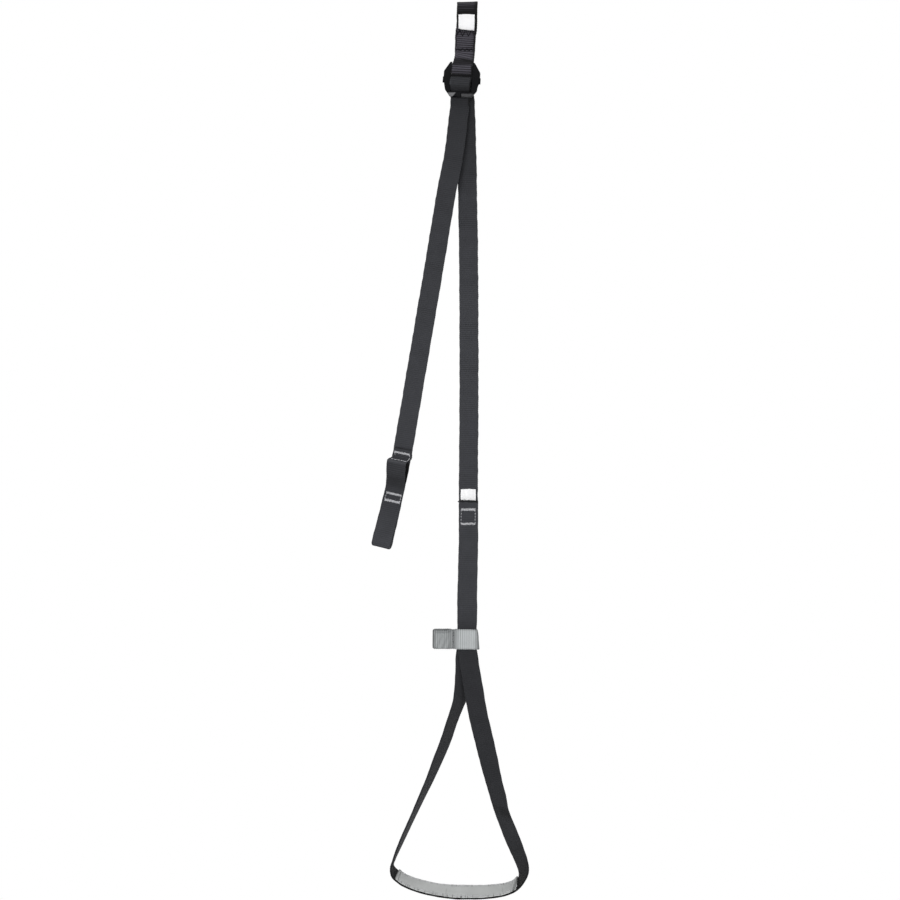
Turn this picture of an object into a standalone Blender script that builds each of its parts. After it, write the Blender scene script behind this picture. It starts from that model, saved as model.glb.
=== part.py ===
"""Adjustable webbing foot loop, hanging from its anchor eye.

One short sewn sling makes the anchor eye and holds the adjuster's top bar. The main strap goes up
behind the adjuster, over its sliding lock bar and out under the lower lip as the tail, and down to
a foot loop with a half twist, a tread strip and an elastic keeper.

Metres, +Z up. The origin is the inner top of the anchor eye. +X is to the viewer's right and -Y is
towards the viewer. A route row is a place on the middle of a strap.
"""
import math

import bmesh
import bpy
import numpy as np
from mathutils import Matrix, Vector

MM = 0.001

# Webbing
SLING_WIDTH = 20.0 * MM
STRAP_WIDTH = 18.8 * MM
WEBBING_THICKNESS = 1.8 * MM
SELVAGE_ROUNDING = 0.5 * MM
LAYER_GAP = 0.3 * MM
SEAT_GAP = 0.3 * MM

# Sling
EYE_GAP = 10.0 * MM
EYE_LENGTH = 26.8 * MM
SEWN_LENGTH = 20.5 * MM
SLING_LENGTH = 65.2 * MM
SLING_LEAN = math.radians(3.0)
SLING_SWAY = 1.4 * MM
SLING_SWAY_START = 17.5 * MM
SLING_SWAY_END = 6.5 * MM
FRONT_LAYER_SHIFT = -0.9 * MM
BACK_LAYER_SHIFT = 0.9 * MM
SLING_TACK_HEIGHT = 5.5 * MM
SLING_TACK_INSET = 1.6 * MM

# Adjuster
BUCKLE_LEAN = math.radians(4.0)
BUCKLE_TURN = math.radians(-6.0)
BUCKLE_DEPTH = -1.4 * MM
TOP_BAR_RADIUS = 2.9 * MM
WINDOW_CLEARANCE = 0.5 * MM
SHOULDER_WIDTH = 1.4 * MM
SHOULDER_HEIGHT = 7.4 * MM
SIDE_PLATE_WIDTH = 7.2 * MM
SIDE_PLATE_FOOT = 5.0 * MM
FRAME_DEPTH = 6.0 * MM
FRAME_EDGE = 0.9 * MM
WIDEST_DROP = 1.8 * MM
CROSS_RIB_DEPTH = 4.4 * MM
LIP_HEIGHT = 5.2 * MM
LIP_BACK = -0.4 * MM
LIP_NOSE = 1.5 * MM
LIP_SLOPE = 1.7 * MM
LIP_TOP_WIDTH = 28.0 * MM
LIP_FOOT_WIDTH = 19.4 * MM
LIP_NOTCH_WIDTH = 5.2 * MM
LIP_NOTCH_SIDE = -2.0 * MM
LIP_NOTCH_DEPTH = 1.0 * MM
LIP_CLEARANCE = 2.8 * MM
LOCK_BAR_RADIUS = 1.8 * MM
LOCK_BAR_TRAVEL = 5.0 * MM
EAR_HEIGHT = 5.6 * MM
EAR_THICKNESS = 2.2 * MM
EAR_HEAD_HEIGHT = 6.4 * MM
EAR_HEAD_THICKNESS = 3.6 * MM
EAR_HEAD_WIDTH = 0.6 * MM
WRAP_CLEARANCE = 1.3 * MM
WRAP_LOAD_SIDE = -0.05 * MM
WRAP_TAIL_SIDE = -0.65 * MM
ROUND_SIDES = 24

# Main strap
STRAND_LENGTH = 410.1 * MM
STRAND_SETTLE = 45.0 * MM
STRAND_OVERLAP = 22.0 * MM
RISER_LENGTH = 145.3 * MM
FRONT_RISER_DEPTH = -0.3 * MM
BACK_RISER_DEPTH = FRONT_RISER_DEPTH + WEBBING_THICKNESS + LAYER_GAP
RISER_TOP_SIDE = 0.9 * MM
RISER_FOOT_SIDE = -0.5 * MM
RISER_SPLAY = 0.6 * MM
RISER_RUNOUT = 2.5 * MM
RISER_RUNOUT_SPLAY = 1.0 * MM
BOX_STITCH_INSET = 6.7 * MM
BOX_STITCH_WIDTH = 14.4 * MM
BOX_STITCH_HEIGHT = 16.5 * MM
BOX_BAR_HEIGHT = 3.4 * MM
BOX_SIDE_WIDTH = 1.0 * MM

# Tail
TAIL_LENGTH = 358.5 * MM
TAIL_SETTLE = 60.0 * MM
TAIL_SLOPE = 0.169
TAIL_FORWARD = 0.034
TAB_LENGTH = 95.0 * MM
TAB_SLOPE_TOP = 0.195
TAB_SLOPE_END = 0.250
GRIP_DEPTH = 9.0 * MM
GRIP_SHIFT = -3.6 * MM
TAB_TACK_HEIGHT = 10.0 * MM
TAB_GRIP_LENGTH = 27.0 * MM
TAB_TACK_INSET = 2.0 * MM
TAB_TACK_CLEAR = 1.6 * MM

# Tread strip
TREAD_WIDTH = 17.6 * MM
TREAD_THICKNESS = 1.3 * MM
TREAD_LENGTH = 124.5 * MM
TREAD_FLAT_LENGTH = 20.0 * MM
TREAD_SHIFT = 4.75 * MM
TREAD_SEAM_INSET = 1.6 * MM
SEAM_WIDTH = 0.8 * MM

# Keeper
KEEPER_HEIGHT = 19.9 * MM
KEEPER_WALL = 1.1 * MM
KEEPER_CLEARANCE = 0.5 * MM
KEEPER_SIDE_CLEARANCE = 1.0 * MM
KEEPER_SEAM = 5.6 * MM
KEEPER_POCKET = 16.2 * MM
KEEPER_RISE = 0.6 * MM
KEEPER_PINCH = 1.4 * MM
KEEPER_CORNER = 1.0 * MM
POCKET_CORNER = 1.2 * MM
KEEPER_SEAM_WIDTH = 1.6 * MM
KEEPER_SEAM_INSET = 1.0 * MM

# Labels and thread
LABEL_THICKNESS = 0.5 * MM
SLING_LABEL_SIZE = 15.6 * MM
SLING_LABEL_RISE = 1.6 * MM
STEP_LABEL_WIDTH = 15.0 * MM
STEP_LABEL_HEIGHT = 11.6 * MM
THREAD_THICKNESS = 0.5 * MM

# How finely routes are read and how coarsely they are faceted
FINE_STEP = 0.5 * MM
FACET_TURN = math.radians(14.0)
FACET_TWIST = math.radians(1.7)
FACET_DEPTH = 0.07 * MM
FACET_LENGTH = 32.0 * MM

# Sizes worked out from the ones above
HALF_LAYER = WEBBING_THICKNESS / 2
LAYER_STEP = WEBBING_THICKNESS + LAYER_GAP
SLING_BEND = TOP_BAR_RADIUS + LAYER_GAP + HALF_LAYER
WRAP_BEND = LOCK_BAR_RADIUS + LAYER_GAP + HALF_LAYER
LOCK_BAR_DROP = SLING_BEND + HALF_LAYER + WRAP_CLEARANCE + WRAP_BEND + HALF_LAYER
LIP_DROP = LOCK_BAR_DROP + LOCK_BAR_RADIUS + LOCK_BAR_TRAVEL + WEBBING_THICKNESS + LIP_CLEARANCE
HALF_WINDOW = max(SLING_WIDTH, STRAP_WIDTH) / 2 + WINDOW_CLEARANCE
SEWN_END = EYE_LENGTH + SEWN_LENGTH
FRAME_BACK_LOW = LIP_BACK + SEAT_GAP + WEBBING_THICKNESS - 0.6 * MM


def srgb(red, green, blue, roughness=0.85, metallic=0.0):
    """Turn a colour as it is seen, 0 to 255, into a linear one, with its finish."""
    linear = [((c / 255 + 0.055) / 1.055) ** 2.4 if c > 10 else c / 255 / 12.92 for c in (red, green, blue)]
    return (*linear, 1.0), roughness, metallic


WEBBING = srgb(66, 66, 72, 0.9)
WEBBING_DARK = srgb(54, 54, 60, 0.9)
GREY_TREAD = srgb(165, 165, 168, 0.9)
GREY_ELASTIC = srgb(153, 155, 158, 0.9)
WHITE_LABEL = srgb(246, 246, 246, 0.7)
BLACK_THREAD = srgb(28, 28, 32, 0.7)
GREY_THREAD = srgb(172, 172, 176, 0.7)
BLACK_METAL = srgb(30, 30, 33, 0.35, 0.6)


def clear_scene():
    for thing in list(bpy.data.objects):
        bpy.data.objects.remove(thing, do_unlink=True)


def make_material(name, finish):
    colour, roughness, metallic = finish
    material = bpy.data.materials.new(name)
    material.use_nodes = True
    shader = material.node_tree.nodes["Principled BSDF"]
    shader.inputs["Base Color"].default_value = colour
    shader.inputs["Roughness"].default_value = roughness
    shader.inputs["Metallic"].default_value = metallic
    material.diffuse_color = colour
    return material


def add_empty(name, place, parent=None):
    """An empty marks a joint's axis. Pieces that move on the joint hang from it."""
    empty = bpy.data.objects.new(name, None)
    empty.empty_display_size = 0.01
    bpy.context.collection.objects.link(empty)
    empty.parent = parent
    empty.matrix_world = place
    return empty


def add_object(name, shape, finish, parent=None, place=None):
    """Turn a bmesh into a named object. Without a place, the shape is already in the world."""
    bmesh.ops.recalc_face_normals(shape, faces=shape.faces)
    mesh = bpy.data.meshes.new(name)
    shape.to_mesh(mesh)
    shape.free()
    if finish is not None:
        mesh.materials.append(make_material(name, finish))
    thing = bpy.data.objects.new(name, mesh)
    bpy.context.collection.objects.link(thing)
    if parent is None:
        return thing
    bpy.context.view_layer.update()
    thing.parent = parent
    if place is None:
        thing.matrix_parent_inverse = parent.matrix_world.inverted()
    else:
        thing.matrix_parent_inverse = Matrix.Identity(4)
        thing.matrix_basis = place
    return thing


def smooth_rows(rows, step=FINE_STEP):
    """Read a smooth curve through chosen rows. The first three columns are a place."""
    rows = np.array(rows, dtype=float)
    spans = np.linalg.norm(np.diff(rows[:, :3], axis=0), axis=1)[:, None]
    slopes = np.diff(rows, axis=0) / spans
    before, after = spans[:-1], spans[1:]
    inner = (slopes[:-1] * after + slopes[1:] * before) / (before + after)
    bends = np.vstack([slopes[:1], inner, slopes[-1:]])
    out = []
    for i, span in enumerate(spans[:, 0]):
        count = max(1, math.ceil(span / step))
        for t in np.arange(count) / count:
            u = 1 - t
            out.append(
                rows[i] * (1 + 2 * t) * u * u
                + rows[i + 1] * (3 - 2 * t) * t * t
                + bends[i] * span * t * u * u
                - bends[i + 1] * span * t * t * u
            )
    out.append(rows[-1])
    return np.array(out)


def run_lengths(places):
    return np.concatenate([[0.0], np.cumsum(np.linalg.norm(np.diff(places, axis=0), axis=1))])


def unit(vectors):
    return vectors / np.linalg.norm(vectors, axis=-1, keepdims=True)


class Route:
    """The middle line of a strap, with the direction of its width at each place.

    The width lies square to the line, unless the strap is let shear where it shifts sideways.
    """

    def __init__(self, places, sides, square=True):
        self.places = np.array(places)
        self.lengths = run_lengths(self.places)
        self.tangents = unit(np.gradient(self.places, axis=0))
        self.square = square
        across = np.array(sides)
        if square:
            across = across - np.sum(across * self.tangents, axis=1, keepdims=True) * self.tangents
        self.sides = unit(across)
        self.normals = unit(np.cross(self.tangents, self.sides))

    @property
    def length(self):
        return self.lengths[-1]

    def at(self, distance):
        """Place, tangent, side and normal at a distance along the route."""
        read = [
            np.array([np.interp(distance, self.lengths, column) for column in table.T])
            for table in (self.places, self.tangents, self.sides)
        ]
        place, tangent, side = read[0], unit(read[1]), read[2]
        if self.square:
            side = side - np.dot(side, tangent) * tangent
        side = unit(side)
        return place, tangent, side, unit(np.cross(tangent, side))

    def stations(self, start, end):
        """Distances at which a strap is faceted: more of them where it bends or twists."""
        inside = np.flatnonzero((self.lengths > start) & (self.lengths < end))
        out = [start]
        first, last_tangent, last_side, last_normal = self.at(start)
        begun = 0
        for k in range(1, len(inside)):
            here = self.places[inside[k]]
            chord = unit(here - first)
            passed = self.places[inside[begun:k]] - first
            off = np.linalg.norm(passed - np.outer(passed @ chord, chord), axis=1).max()
            turned = float(np.dot(self.tangents[inside[k]], last_tangent))
            twisted = float(np.dot(self.sides[inside[k]], last_side))
            bent = off > FACET_DEPTH or turned < math.cos(FACET_TURN) or twisted < math.cos(FACET_TURN)
            rolled = abs(float(np.dot(self.sides[inside[k]], last_normal))) > math.sin(FACET_TWIST)
            if bent or rolled or self.lengths[inside[k]] - out[-1] > FACET_LENGTH:
                begun = k - 1
                first = self.places[inside[begun]]
                last_tangent = self.tangents[inside[begun]]
                last_side = self.sides[inside[begun]]
                last_normal = self.normals[inside[begun]]
                out.append(float(self.lengths[inside[begun]]))
        if end - out[-1] < FINE_STEP and len(out) > 1:
            out.pop()
        out.append(end)
        return out

    def nearest(self, height, after=0.0):
        """Distance along the route at which it first crosses a height, past a given distance."""
        for i in range(len(self.lengths) - 1):
            low, high = sorted((self.places[i][2], self.places[i + 1][2]))
            if self.lengths[i] >= after and low <= height <= high:
                return float(self.lengths[i])
        return self.length


def strap_section(width, thickness, rounding):
    """Half-rounded rectangle as offsets along the side and the normal."""
    half_width, half = width / 2, thickness / 2
    inner = half_width - min(rounding, half_width / 2)
    edge = half * 0.35
    return [
        (-half_width, -edge),
        (-inner, -half),
        (inner, -half),
        (half_width, -edge),
        (half_width, edge),
        (inner, half),
        (-inner, half),
        (-half_width, edge),
    ]


def loft(rings):
    """Skin a row of rings that have as many points each, and close both ends."""
    shape = bmesh.new()
    made = [[shape.verts.new(Vector(point)) for point in ring] for ring in rings]
    count = len(made[0])
    for ring, following in zip(made, made[1:]):
        for i in range(count):
            j = (i + 1) % count
            shape.faces.new((ring[i], ring[j], following[j], following[i]))
    shape.faces.new(made[0][::-1])
    shape.faces.new(made[-1])
    return shape


def strap_between(route, start, end, width, thickness, lift=0.0):
    """Sweep a strap along a route from one distance to another, lifted along its normal."""
    section = strap_section(width, thickness, SELVAGE_ROUNDING)
    inner = [s for s in route.stations(0.0, route.length) if start + FINE_STEP < s < end - FINE_STEP]
    rings = []
    for distance in [start] + inner + [end]:
        place, _, side, normal = route.at(distance)
        rings.append([place + side * a + normal * (b + lift) for a, b in section])
    return loft(rings)


def panel(route, rows, columns, thickness, lift, open_cells=()):
    """A thin flat piece on a route: a grid of cells, some of which may be open."""
    shape = bmesh.new()
    grid = []
    for distance in rows:
        place, _, side, normal = route.at(distance)
        layers = []
        for level in (lift - thickness / 2, lift + thickness / 2):
            points = [Vector(place + side * c + normal * level) for c in columns]
            layers.append([shape.verts.new(point) for point in points])
        grid.append(layers)
    cells = {
        (r, c)
        for r in range(len(rows) - 1)
        for c in range(len(columns) - 1)
        if (r, c) not in open_cells
    }
    for r, c in cells:
        for layer in (0, 1):
            near, far = grid[r][layer], grid[r + 1][layer]
            shape.faces.new((near[c], near[c + 1], far[c + 1], far[c]))
        edges = {
            (r - 1, c): ((r, c), (r, c + 1)),
            (r + 1, c): ((r + 1, c), (r + 1, c + 1)),
            (r, c - 1): ((r, c), (r + 1, c)),
            (r, c + 1): ((r, c + 1), (r + 1, c + 1)),
        }
        for neighbour, (a, b) in edges.items():
            if neighbour not in cells:
                shape.faces.new(
                    (grid[a[0]][0][a[1]], grid[b[0]][0][b[1]], grid[b[0]][1][b[1]], grid[a[0]][1][a[1]])
                )
    loose = [vertex for vertex in shape.verts if not vertex.link_faces]
    bmesh.ops.delete(shape, geom=loose, context="VERTS")
    return shape


def surface_lift(thickness, layers=HALF_LAYER):
    """How far a thin piece's middle stands off a strap's middle when it lies on its face."""
    return layers + SEAT_GAP + thickness / 2


def arc_points(centre, radius, start, end, count):
    """Points of an arc in a plane, both ends included. Angles in degrees."""
    angles = np.radians(np.linspace(start, end, count))
    return [(centre[0] + radius * math.cos(a), centre[1] + radius * math.sin(a)) for a in angles]


def rounded_polygon(corners, segments=4):
    """Round each corner (x, y, radius) of a polygon with an arc."""
    out = []
    for i, (x, y, radius) in enumerate(corners):
        here = Vector((x, y))
        before = (Vector(corners[i - 1][:2]) - here).normalized()
        after = (Vector(corners[(i + 1) % len(corners)][:2]) - here).normalized()
        half = before.angle(after) / 2
        centre = here + (before + after).normalized() * radius / math.sin(half)
        first = here + before * radius / math.tan(half) - centre
        last = here + after * radius / math.tan(half) - centre
        for k in range(segments + 1):
            out.append(centre + first.lerp(last, k / segments).normalized() * radius)
    return out


def prism(outline, low, high, axis="Y"):
    """Extrude an outline along an axis. Along Y it lies in XZ, along X in YZ and along Z in XY."""
    turn = {
        "X": lambda a, b, c: (c, a, b),
        "Y": lambda a, b, c: (a, c, b),
        "Z": lambda a, b, c: (a, b, c),
    }[axis]
    return loft([[turn(x, y, level) for x, y in outline] for level in (low, high)])


def box(low, high):
    (x0, y0, z0), (x1, y1, z1) = low, high
    return prism([(x0, y0), (x1, y0), (x1, y1), (x0, y1)], z0, z1, "Z")


def round_edges(shape, width, segments=2):
    """Bevel every sharp edge of a shape."""
    bmesh.ops.recalc_face_normals(shape, faces=shape.faces)
    sharp = [edge for edge in shape.edges if edge.calc_face_angle(0.0) > math.radians(50)]
    bmesh.ops.bevel(
        shape, geom=sharp, offset=width, segments=segments, affect="EDGES", profile=0.5, clamp_overlap=True
    )
    return shape


def combine(target, operation, name, shape, parent):
    """Cut a shape from an object, or join it on, with a hidden helper."""
    helper = add_object(name, shape, None, parent, Matrix.Identity(4))
    helper.hide_render = True
    helper.display_type = "WIRE"
    modifier = target.modifiers.new(name, "BOOLEAN")
    modifier.operation = operation
    modifier.solver = "EXACT"
    modifier.object = helper


def shade_round(thing, angle=35.0):
    thing.data.shade_smooth()
    thing.data.set_sharp_from_angle(angle=math.radians(angle))


# Routes of the straps


def smooth_step(value):
    """0 below 0, 1 above 1 and a smooth rise between."""
    part = min(1.0, max(0.0, value))
    return (3 - 2 * part) * part * part


def sling_middle(down):
    """Sideways place, lean and turn of the sling at a distance below the eye."""
    settled = smooth_step((down - SEWN_END) / (SLING_LENGTH - SEWN_END))
    above = SLING_LENGTH - down
    swayed = SLING_SWAY * smooth_step((SLING_SWAY_START - above) / (SLING_SWAY_START - SLING_SWAY_END))
    below = max(0.0, down - SLING_LENGTH)
    middle = math.tan(SLING_LEAN) * (down - below) + swayed + math.tan(BUCKLE_LEAN) * below
    lean = SLING_LEAN + (BUCKLE_LEAN - SLING_LEAN) * settled
    return -middle, lean, BUCKLE_TURN * settled


def sling_route():
    """From the front cut end, round the top bar, up the back and over the eye to the inner end."""
    front, back = -LAYER_STEP, LAYER_STEP
    eye = EYE_GAP / 2 + HALF_LAYER
    rows = [
        (FRONT_LAYER_SHIFT, front, EYE_LENGTH),
        (FRONT_LAYER_SHIFT, front, EYE_LENGTH + SEWN_LENGTH / 2),
        (FRONT_LAYER_SHIFT / 2, front, SEWN_END),
        (0.0, front - 0.5 * (SLING_BEND - LAYER_STEP), SEWN_END + 0.45 * (SLING_LENGTH - SEWN_END)),
    ]
    for depth, down in arc_points((BUCKLE_DEPTH, SLING_LENGTH), SLING_BEND, 180, 0, 13):
        rows.append((0.0, depth, down))
    rows += [
        (0.0, back + 0.35 * (BUCKLE_DEPTH + SLING_BEND - back), SEWN_END + 0.35 * (SLING_LENGTH - SEWN_END)),
        (BACK_LAYER_SHIFT / 2, back, SEWN_END),
        (BACK_LAYER_SHIFT, back, EYE_LENGTH + SEWN_LENGTH / 2),
        (BACK_LAYER_SHIFT, back, EYE_LENGTH),
        (BACK_LAYER_SHIFT, back + 0.40 * (eye - back), EYE_LENGTH * 0.72),
        (BACK_LAYER_SHIFT / 2, back + 0.88 * (eye - back), EYE_LENGTH * 0.42),
    ]
    for depth, down in arc_points((0.0, EYE_GAP / 2), eye, 0, -180, 13):
        rows.append((0.0, depth, down))
    rows += [
        (0.0, -0.84 * eye, EYE_LENGTH * 0.42),
        (0.0, -0.40 * eye, EYE_LENGTH * 0.72),
        (0.0, -0.04 * eye, EYE_LENGTH * 0.95),
        (0.0, 0.0, EYE_LENGTH + 2 * LAYER_STEP),
        (0.0, 0.0, SEWN_END),
    ]
    places, sides = [], []
    for shift, depth, down in smooth_rows(rows):
        middle, lean, turn = sling_middle(down)
        out = depth - BUCKLE_DEPTH
        across = shift * math.cos(turn) - out * math.sin(turn)
        deep = shift * math.sin(turn) + out * math.cos(turn)
        places.append((middle + across, BUCKLE_DEPTH + deep, -down))
        sides.append((math.cos(lean) * math.cos(turn), math.sin(turn), -math.sin(lean) * math.cos(turn)))
    return Route(places, sides)


def buckle_place():
    """The adjuster's own frame: its origin on the top bar's axis, +Z towards the sling."""
    middle, lean, turn = sling_middle(SLING_LENGTH)
    place = Matrix.Translation((middle, BUCKLE_DEPTH, -SLING_LENGTH))
    return place @ Matrix.Rotation(lean, 4, "Y") @ Matrix.Rotation(turn, 4, "Z")


def in_buckle(side, depth, height):
    return buckle_place() @ Vector((side, depth, height))


def wrap_end_height():
    """Height in the adjuster at which the wrap hands over to the two strands."""
    return -LOCK_BAR_DROP - LAYER_GAP * 2


def wrap_route():
    """Over the lock bar, from the load side at the back to the tail side at the front."""
    rows = [(WRAP_LOAD_SIDE, WRAP_BEND, wrap_end_height())]
    arc = arc_points((0.0, -LOCK_BAR_DROP), WRAP_BEND, 0, 180, 13)
    for side, (depth, height) in zip(np.linspace(WRAP_LOAD_SIDE, WRAP_TAIL_SIDE, len(arc)), arc):
        rows.append((side, depth, height))
    rows.append((WRAP_TAIL_SIDE, -WRAP_BEND, wrap_end_height()))
    places = [tuple(in_buckle(*row)) for row in smooth_rows(rows)]
    return Route(places, [buckle_side()] * len(places))


def buckle_side():
    """The direction of the adjuster's width."""
    return tuple(buckle_place().to_3x3() @ Vector((1, 0, 0)))


def lock_bar_height():
    return in_buckle(0.0, 0.0, -LOCK_BAR_DROP).z


def riser_top():
    """Height of the front layer's cut end."""
    return lock_bar_height() - STRAND_LENGTH


def riser_foot():
    return riser_top() - RISER_LENGTH


def riser_side(height):
    """The doubled riser's sideways place at a height."""
    part = (height - riser_top()) / (riser_foot() - riser_top())
    return RISER_TOP_SIDE + (RISER_FOOT_SIDE - RISER_TOP_SIDE) * part


def leaning_sides(places, settle):
    """Width directions that start along the adjuster's and soon lie square to the route."""
    start = np.array(buckle_side())
    sides = []
    for distance, tangent in zip(run_lengths(places), unit(np.gradient(places, axis=0))):
        own = unit(np.array((-tangent[2], 0.0, tangent[0])))
        part = smooth_step(distance / settle)
        sides.append(unit(start * (1 - part) + own * part))
    return sides


def load_route():
    """From the back of the lock bar down to the riser. Rows: sideways place, depth, share of the length."""
    start = wrap_end_height() - LAYER_GAP
    end = riser_top() + STRAND_OVERLAP + LAYER_GAP
    drop = lock_bar_height() - end
    rows = [
        tuple(in_buckle(WRAP_LOAD_SIDE, WRAP_BEND, start)),
        tuple(in_buckle(WRAP_LOAD_SIDE, WRAP_BEND, start - WEBBING_THICKNESS)),
    ]
    chosen = [
        (-2.45, 1.8, 0.042),
        (-1.85, 1.8, 0.072),
        (-0.75, 1.8, 0.148),
        (-0.3, 1.8, 0.198),
        (0.3, 1.8, 0.290),
        (1.2, 1.8, 0.430),
        (1.6, 1.8, 0.620),
        (1.6, 1.8, 0.820),
        (1.1, 1.8, 1.000),
    ]
    for side, depth, share in chosen:
        rows.append((side * MM, depth * MM, lock_bar_height() - share * drop))
    places = smooth_rows(rows)
    return Route(places, leaning_sides(places, STRAND_SETTLE))


def tail_route():
    """From the front of the lock bar, through the lower slot and behind the lip, down to the tab."""
    front, behind = -WRAP_BEND, LIP_BACK + SEAT_GAP + HALF_LAYER
    rows = [
        tuple(in_buckle(WRAP_TAIL_SIDE, front, wrap_end_height() - LAYER_GAP)),
        tuple(in_buckle(WRAP_TAIL_SIDE, front, -LOCK_BAR_DROP - WRAP_BEND)),
        tuple(in_buckle(WRAP_TAIL_SIDE, behind + 0.25 * (front - behind), -LIP_DROP + LIP_CLEARANCE)),
        tuple(in_buckle(0.8 * WRAP_TAIL_SIDE, behind, -LIP_DROP + HALF_LAYER)),
        tuple(in_buckle(0.7 * WRAP_TAIL_SIDE, behind, -LIP_DROP - LIP_HEIGHT)),
    ]
    start = Vector(rows[-1])
    chosen = [
        (0.6, 0.9, 11.0),
        (1.8, 2.5, 21.0),
        (3.95, 4.4, 40.0),
        (6.8, 5.6, 60.0),
        (10.8, 6.4, 80.0),
    ]
    for left, forward, down in chosen:
        rows.append((start.x - left * MM, start.y - forward * MM, start.z - down * MM))
    bend = Vector(rows[-1])
    end = lock_bar_height() - TAIL_LENGTH
    for share in (0.33, 0.66, 1.0):
        down = (bend.z - end) * share
        rows.append((bend.x - TAIL_SLOPE * down, bend.y - TAIL_FORWARD * down, bend.z - down))
    places = smooth_rows(rows)
    return Route(places, leaning_sides(places, TAIL_SETTLE))


def tab_route():
    """The tail's end: down the back layer, round the end fold and up the front layer to its cut end."""
    start = tail_route().places[-1]
    first_tack = TAB_TACK_INSET + TAB_TACK_HEIGHT
    second_tack = first_tack + TAB_GRIP_LENGTH
    fold = HALF_LAYER + LAYER_GAP / 2

    def slope(down):
        return TAB_SLOPE_TOP + (TAB_SLOPE_END - TAB_SLOPE_TOP) * down / TAB_LENGTH

    def middle(down):
        return -(TAB_SLOPE_TOP + slope(down)) / 2 * down

    rows = []
    for down in np.linspace(0.0, TAB_LENGTH - fold, 7):
        rows.append((middle(down), 0.0, down))
    for forward, down in arc_points((-fold, TAB_LENGTH - fold), fold, 0, 180, 7)[1:]:
        rows.append((middle(down), forward, down))
    flat = np.linspace(TAB_LENGTH - fold, second_tack + TAB_TACK_CLEAR, 4)[1:]
    for down in (*flat, second_tack):
        rows.append((middle(down), -2 * fold, down))
    for share, bulge in ((0.80, 0.25), (0.55, 0.80), (0.30, 1.00), (0.08, 0.72)):
        down = first_tack + TAB_GRIP_LENGTH * share
        out = (GRIP_DEPTH - WEBBING_THICKNESS) * bulge
        rows.append((middle(down) + GRIP_SHIFT * bulge, -2 * fold - out, down))
    for down in (first_tack, first_tack - TAB_TACK_CLEAR / 2, first_tack / 2, 0.0):
        rows.append((middle(down), -2 * fold, down))
    places, sides = [], []
    for side, forward, down in smooth_rows(rows):
        lean = math.atan(slope(down))
        offset = np.array((side, forward - TAIL_FORWARD * down, -LAYER_GAP - down))
        places.append(start + offset)
        sides.append((math.cos(lean), 0.0, -math.sin(lean)))
    return Route(places, sides, square=False)


# The foot loop's route below the riser: sideways place, depth and drop in millimetres, and the
# strap's turn in degrees: 0 faces the viewer, -90 stands edge on with its width running back.
LEFT_LEG = [
    (-2.3, 2.8, 14.7, -3),
    (-2.7, 3.8, 24.4, -10),
    (-4.5, 5.0, 39.0, -24),
    (-6.5, 5.2, 48.8, -37),
    (-13.5, 5.0, 68.3, -53),
    (-20.7, 4.6, 87.8, -56.5),
    (-28.6, 4.2, 107.4, -60),
    (-36.7, 3.6, 126.9, -66.5),
    (-45.6, 3.0, 146.4, -71.5),
    (-54.6, 2.2, 165.9, -75.5),
    (-63.5, 1.4, 185.4, -77.5),
    (-67.8, 1.0, 195.2, -80),
    (-71.6, 0.6, 204.9, -84),
    (-73.4, 0.4, 210.6, -84),
    (-71.0, 0.2, 217.6, -70),
    (-64.6, 0.0, 223.2, -65),
]
TREAD = [
    (-55.9, 0.0, 227.6, -64),
    (-43.2, 0.0, 231.6, -62),
    (-24.4, 0.0, 235.3, -59),
    (-2.0, 0.0, 236.8, -57),
    (22.4, 0.0, 236.0, -60),
    (37.1, 0.0, 233.7, -64),
    (49.6, 0.0, 227.4, -70),
]
RIGHT_LEG = [
    (54.6, 0.0, 217.6, -64),
    (52.3, 0.0, 204.9, -49),
    (48.6, -0.3, 195.2, -43.5),
    (44.6, -0.5, 185.4, -40),
    (36.9, -0.8, 165.9, -42.5),
    (33.2, -0.9, 156.1, -43),
    (30.8, -1.0, 146.4, -36),
    (25.7, -1.2, 126.9, -30),
    (21.0, -1.4, 107.4, -20),
    (16.4, -1.6, 87.8, -9),
    (11.7, -1.8, 68.3, -5),
    (8.0, -1.9, 48.8, -4),
    (6.3, -1.8, 39.0, -2),
    (3.8, -1.3, 24.4, 0),
    (1.6, -0.7, 9.8, 0),
]


def riser_rows(depth, way):
    """One riser layer from its top to just below the keeper. The two layers splay downwards."""
    rows = []
    for part in (0.0, 0.25, 0.5, 0.75, 1.0):
        height = riser_top() - part * RISER_LENGTH
        rows.append((riser_side(height) + way * RISER_SPLAY * part, depth, height, 0.0))
    height = riser_foot() - RISER_RUNOUT
    rows.append((riser_side(height) + way * RISER_RUNOUT_SPLAY, depth, height, 0.0))
    return rows


def step_route():
    """Down the back riser, round the foot loop and up the front riser to the cut end."""
    top = riser_top() + STRAND_OVERLAP
    rows = [(riser_side(top), BACK_RISER_DEPTH, top, 0.0)] + riser_rows(BACK_RISER_DEPTH, -1)
    for side, depth, drop, turn in LEFT_LEG + TREAD + RIGHT_LEG:
        rows.append((side * MM, depth * MM, riser_foot() - drop * MM, turn))
    rows += reversed(riser_rows(FRONT_RISER_DEPTH, 1))
    read = smooth_rows(rows)
    places, turns = flatten_tread(read[:, :3], np.radians(read[:, 3]))
    tangents = unit(np.gradient(places, axis=0))
    sides = []
    for tangent, turn in zip(tangents, turns):
        inward = unit(np.array((-tangent[2], 0.0, tangent[0])))
        sides.append(math.cos(turn) * inward + math.sin(turn) * np.array((0.0, -1.0, 0.0)))
    return Route(places, sides)


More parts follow.
